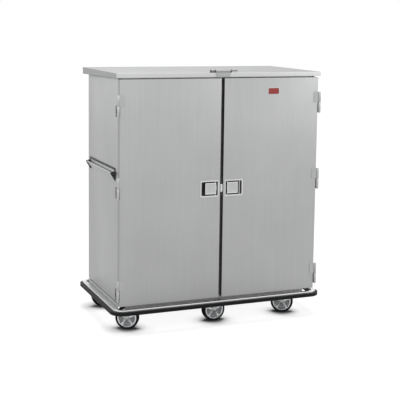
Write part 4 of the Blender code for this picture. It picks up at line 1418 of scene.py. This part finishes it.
bracketLook = {"round": 0.0005, "clear": 0.0004}


def makeBracket(look):
    # the ears and pins above the cap are dark, the plate down its front matches the doors
    node = "transport_latch_bracket"
    mesh = meshOf(softenedCopy(node, look["round"]), "transportBracket")
    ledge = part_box("top_cap")[1].z + look["clear"]
    for face in mesh.polygons:
        face.material_index = 1 if face.center.z > ledge else 0
    standIn(mesh, node, (doorSteel, darkSteel), sharp=32)


makeBracket(bracketLook)


# wheel bolts, plate bolts and liner rivets

casterLook = {"boltX": 0.036, "boltY": 0.0235, "boltSize": 0.62, "plateSheet": 0.0045, "nutSet": 0.0292}
linerLook = {"rivetInset": 0.012, "rivetCount": 9}


def makeCasterBolts(look):
    rows = []
    for label in corners + rigidWheels:
        low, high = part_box(("caster_plate_" if label in corners else "caster_fork_") + label)
        middle, height = (low + high) / 2, high.z - look["plateSheet"]
        for x in (-1, 1):
            for y in (-1, 1):
                place = (middle.x + x * look["boltX"], middle.y + y * look["boltY"], height)
                rows.append((place, (0, 0, -1)))
        joint = jointOf("wheel_" + label + "_spin")
        axis, hub = Vector(joint["axis"]), Vector(joint["pos_m"])
        ends = [(hub + axis * end * look["nutSet"], axis * end) for end in (-1, 1)]
        setHeads("axleNuts_" + label, "hex", bodyOf["caster_fork_" + label], ends, zincSteel, seed=17)
    setHeads("plateBolts", "hex", "cart_body", rows, zincSteel, seed=19, size=look["boltSize"])


def makeLinerRivets(look):
    inset, gaps = look["rivetInset"], look["rivetCount"] - 1
    for label in doorNames:
        low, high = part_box("door_liner_" + label)
        rows = []
        for k in range(gaps + 1):
            height = low.z + inset + (high.z - low.z - 2 * inset) * k / gaps
            for x in (low.x + inset, high.x - inset):
                rows.append(((x, high.y, height), (0, 1, 0)))
        setHeads("linerRivets_" + label, "rivet", "door_" + label, rows, zincSteel, seed=23)


makeCasterBolts(casterLook)
makeLinerRivets(linerLook)
print("fasteners ready")


# floor, world and lamps

studio = {
    "floorSize": 60.0,
    "floorTone": 0.22,
    "floorGlow": 0.92,
    "contactReach": 0.14,
    "contactGlow": 0.0,
    "contactSpan": (0.62, 0.95),
    "underReach": 0.80,
    "underSpan": (0.25, 0.95),
    "mirrorGlow": 0.62,
    "worldLight": 0.72,
    "lamps": (
        # place, target, size, watts
        ((-4.2, -4.6, 4.4), (0.0, 0.0, 0.9), 3.2, 70.0),
        ((4.6, -3.2, 3.0), (0.0, 0.0, 0.9), 3.0, 34.0),
        ((0.0, 2.4, 5.2), (0.0, 0.0, 1.0), 3.4, 40.0),
    ),
}


def seenDirectly(tree):
    # 1 for rays from the camera, mirrors and clear pieces
    path = addNode(tree, "ShaderNodeLightPath")
    first = combine(tree, path.outputs["Is Camera Ray"], path.outputs["Is Glossy Ray"], "MAXIMUM")
    return combine(tree, first, path.outputs["Is Transmission Ray"], "MAXIMUM")


def buildWorld(setup):
    world = bpy.data.worlds.new("softStudio")
    scene.world = world
    world.use_nodes = True
    tree = world.node_tree
    tree.nodes.clear()
    strength = remap(tree, seenDirectly(tree), setup["worldLight"], 1.0, 0.0, 1.0)
    background = addNode(tree, "ShaderNodeBackground", {"Color": (1, 1, 1, 1)})
    tree.links.new(strength, background.inputs["Strength"])
    output = addNode(tree, "ShaderNodeOutputWorld")
    connect(tree, (background, 0, output, "Surface"))


def buildFloor(setup):
    half = setup["floorSize"] / 2
    mesh = bpy.data.meshes.new("studioFloor")
    square = [(x * half, y * half, 0) for x, y in ((-1, -1), (1, -1), (1, 1), (-1, 1))]
    mesh.from_pydata(square, [], [(0, 1, 2, 3)])
    floor = heldObject("studioFloor", mesh)
    material = bpy.data.materials.new("paleFloor")
    material.use_nodes = True
    tree = material.node_tree
    tree.nodes.clear()
    tone = setup["floorTone"]
    matte = addNode(tree, "ShaderNodeBsdfDiffuse", {"Color": (tone, tone, tone, 1)})
    # the glow keeps the bare floor white, and fades close to what touches it: a painted contact shadow, driven by
    # ambient occlusion
    path = addNode(tree, "ShaderNodeLightPath")
    seen = combine(tree, path.outputs["Is Camera Ray"], path.outputs["Is Transmission Ray"], "MAXIMUM")
    contact = addNode(tree, "ShaderNodeAmbientOcclusion", {"Distance": setup["contactReach"]})
    glow = remap(
        tree, contact.outputs["AO"], setup["contactGlow"], setup["floorGlow"], *setup["contactSpan"]
    )
    # painted shade in reflections: they see the floor under the cart as dark, out to its edge, driven by ambient
    # occlusion
    under = addNode(tree, "ShaderNodeAmbientOcclusion", {"Distance": setup["underReach"]})
    reflected = remap(tree, under.outputs["AO"], 0.0, setup["mirrorGlow"], *setup["underSpan"])
    lit = combine(
        tree,
        combine(tree, glow, seen, "MULTIPLY"),
        combine(tree, reflected, path.outputs["Is Glossy Ray"], "MULTIPLY"),
    )
    emission = addNode(tree, "ShaderNodeEmission", {"Color": (1, 1, 1, 1)})
    tree.links.new(lit, emission.inputs["Strength"])
    both = addNode(tree, "ShaderNodeAddShader")
    connect(tree, (matte, 0, both, 0))
    connect(tree, (emission, 0, both, 1))
    output = addNode(tree, "ShaderNodeOutputMaterial")
    connect(tree, (both, 0, output, "Surface"))
    mesh.materials.append(material)


def hangLamps(setup):
    for number, (place, target, size, watts) in enumerate(setup["lamps"]):
        data = bpy.data.lights.new("softbox" + str(number), "AREA")
        data.size = size
        data.energy = watts
        lamp = heldObject(data.name, data)
        lamp.location = place
        lamp.rotation_euler = (Vector(target) - Vector(place)).to_track_quat("-Z", "Y").to_euler()


buildWorld(studio)
buildFloor(studio)
hangLamps(studio)
print("studio ready")
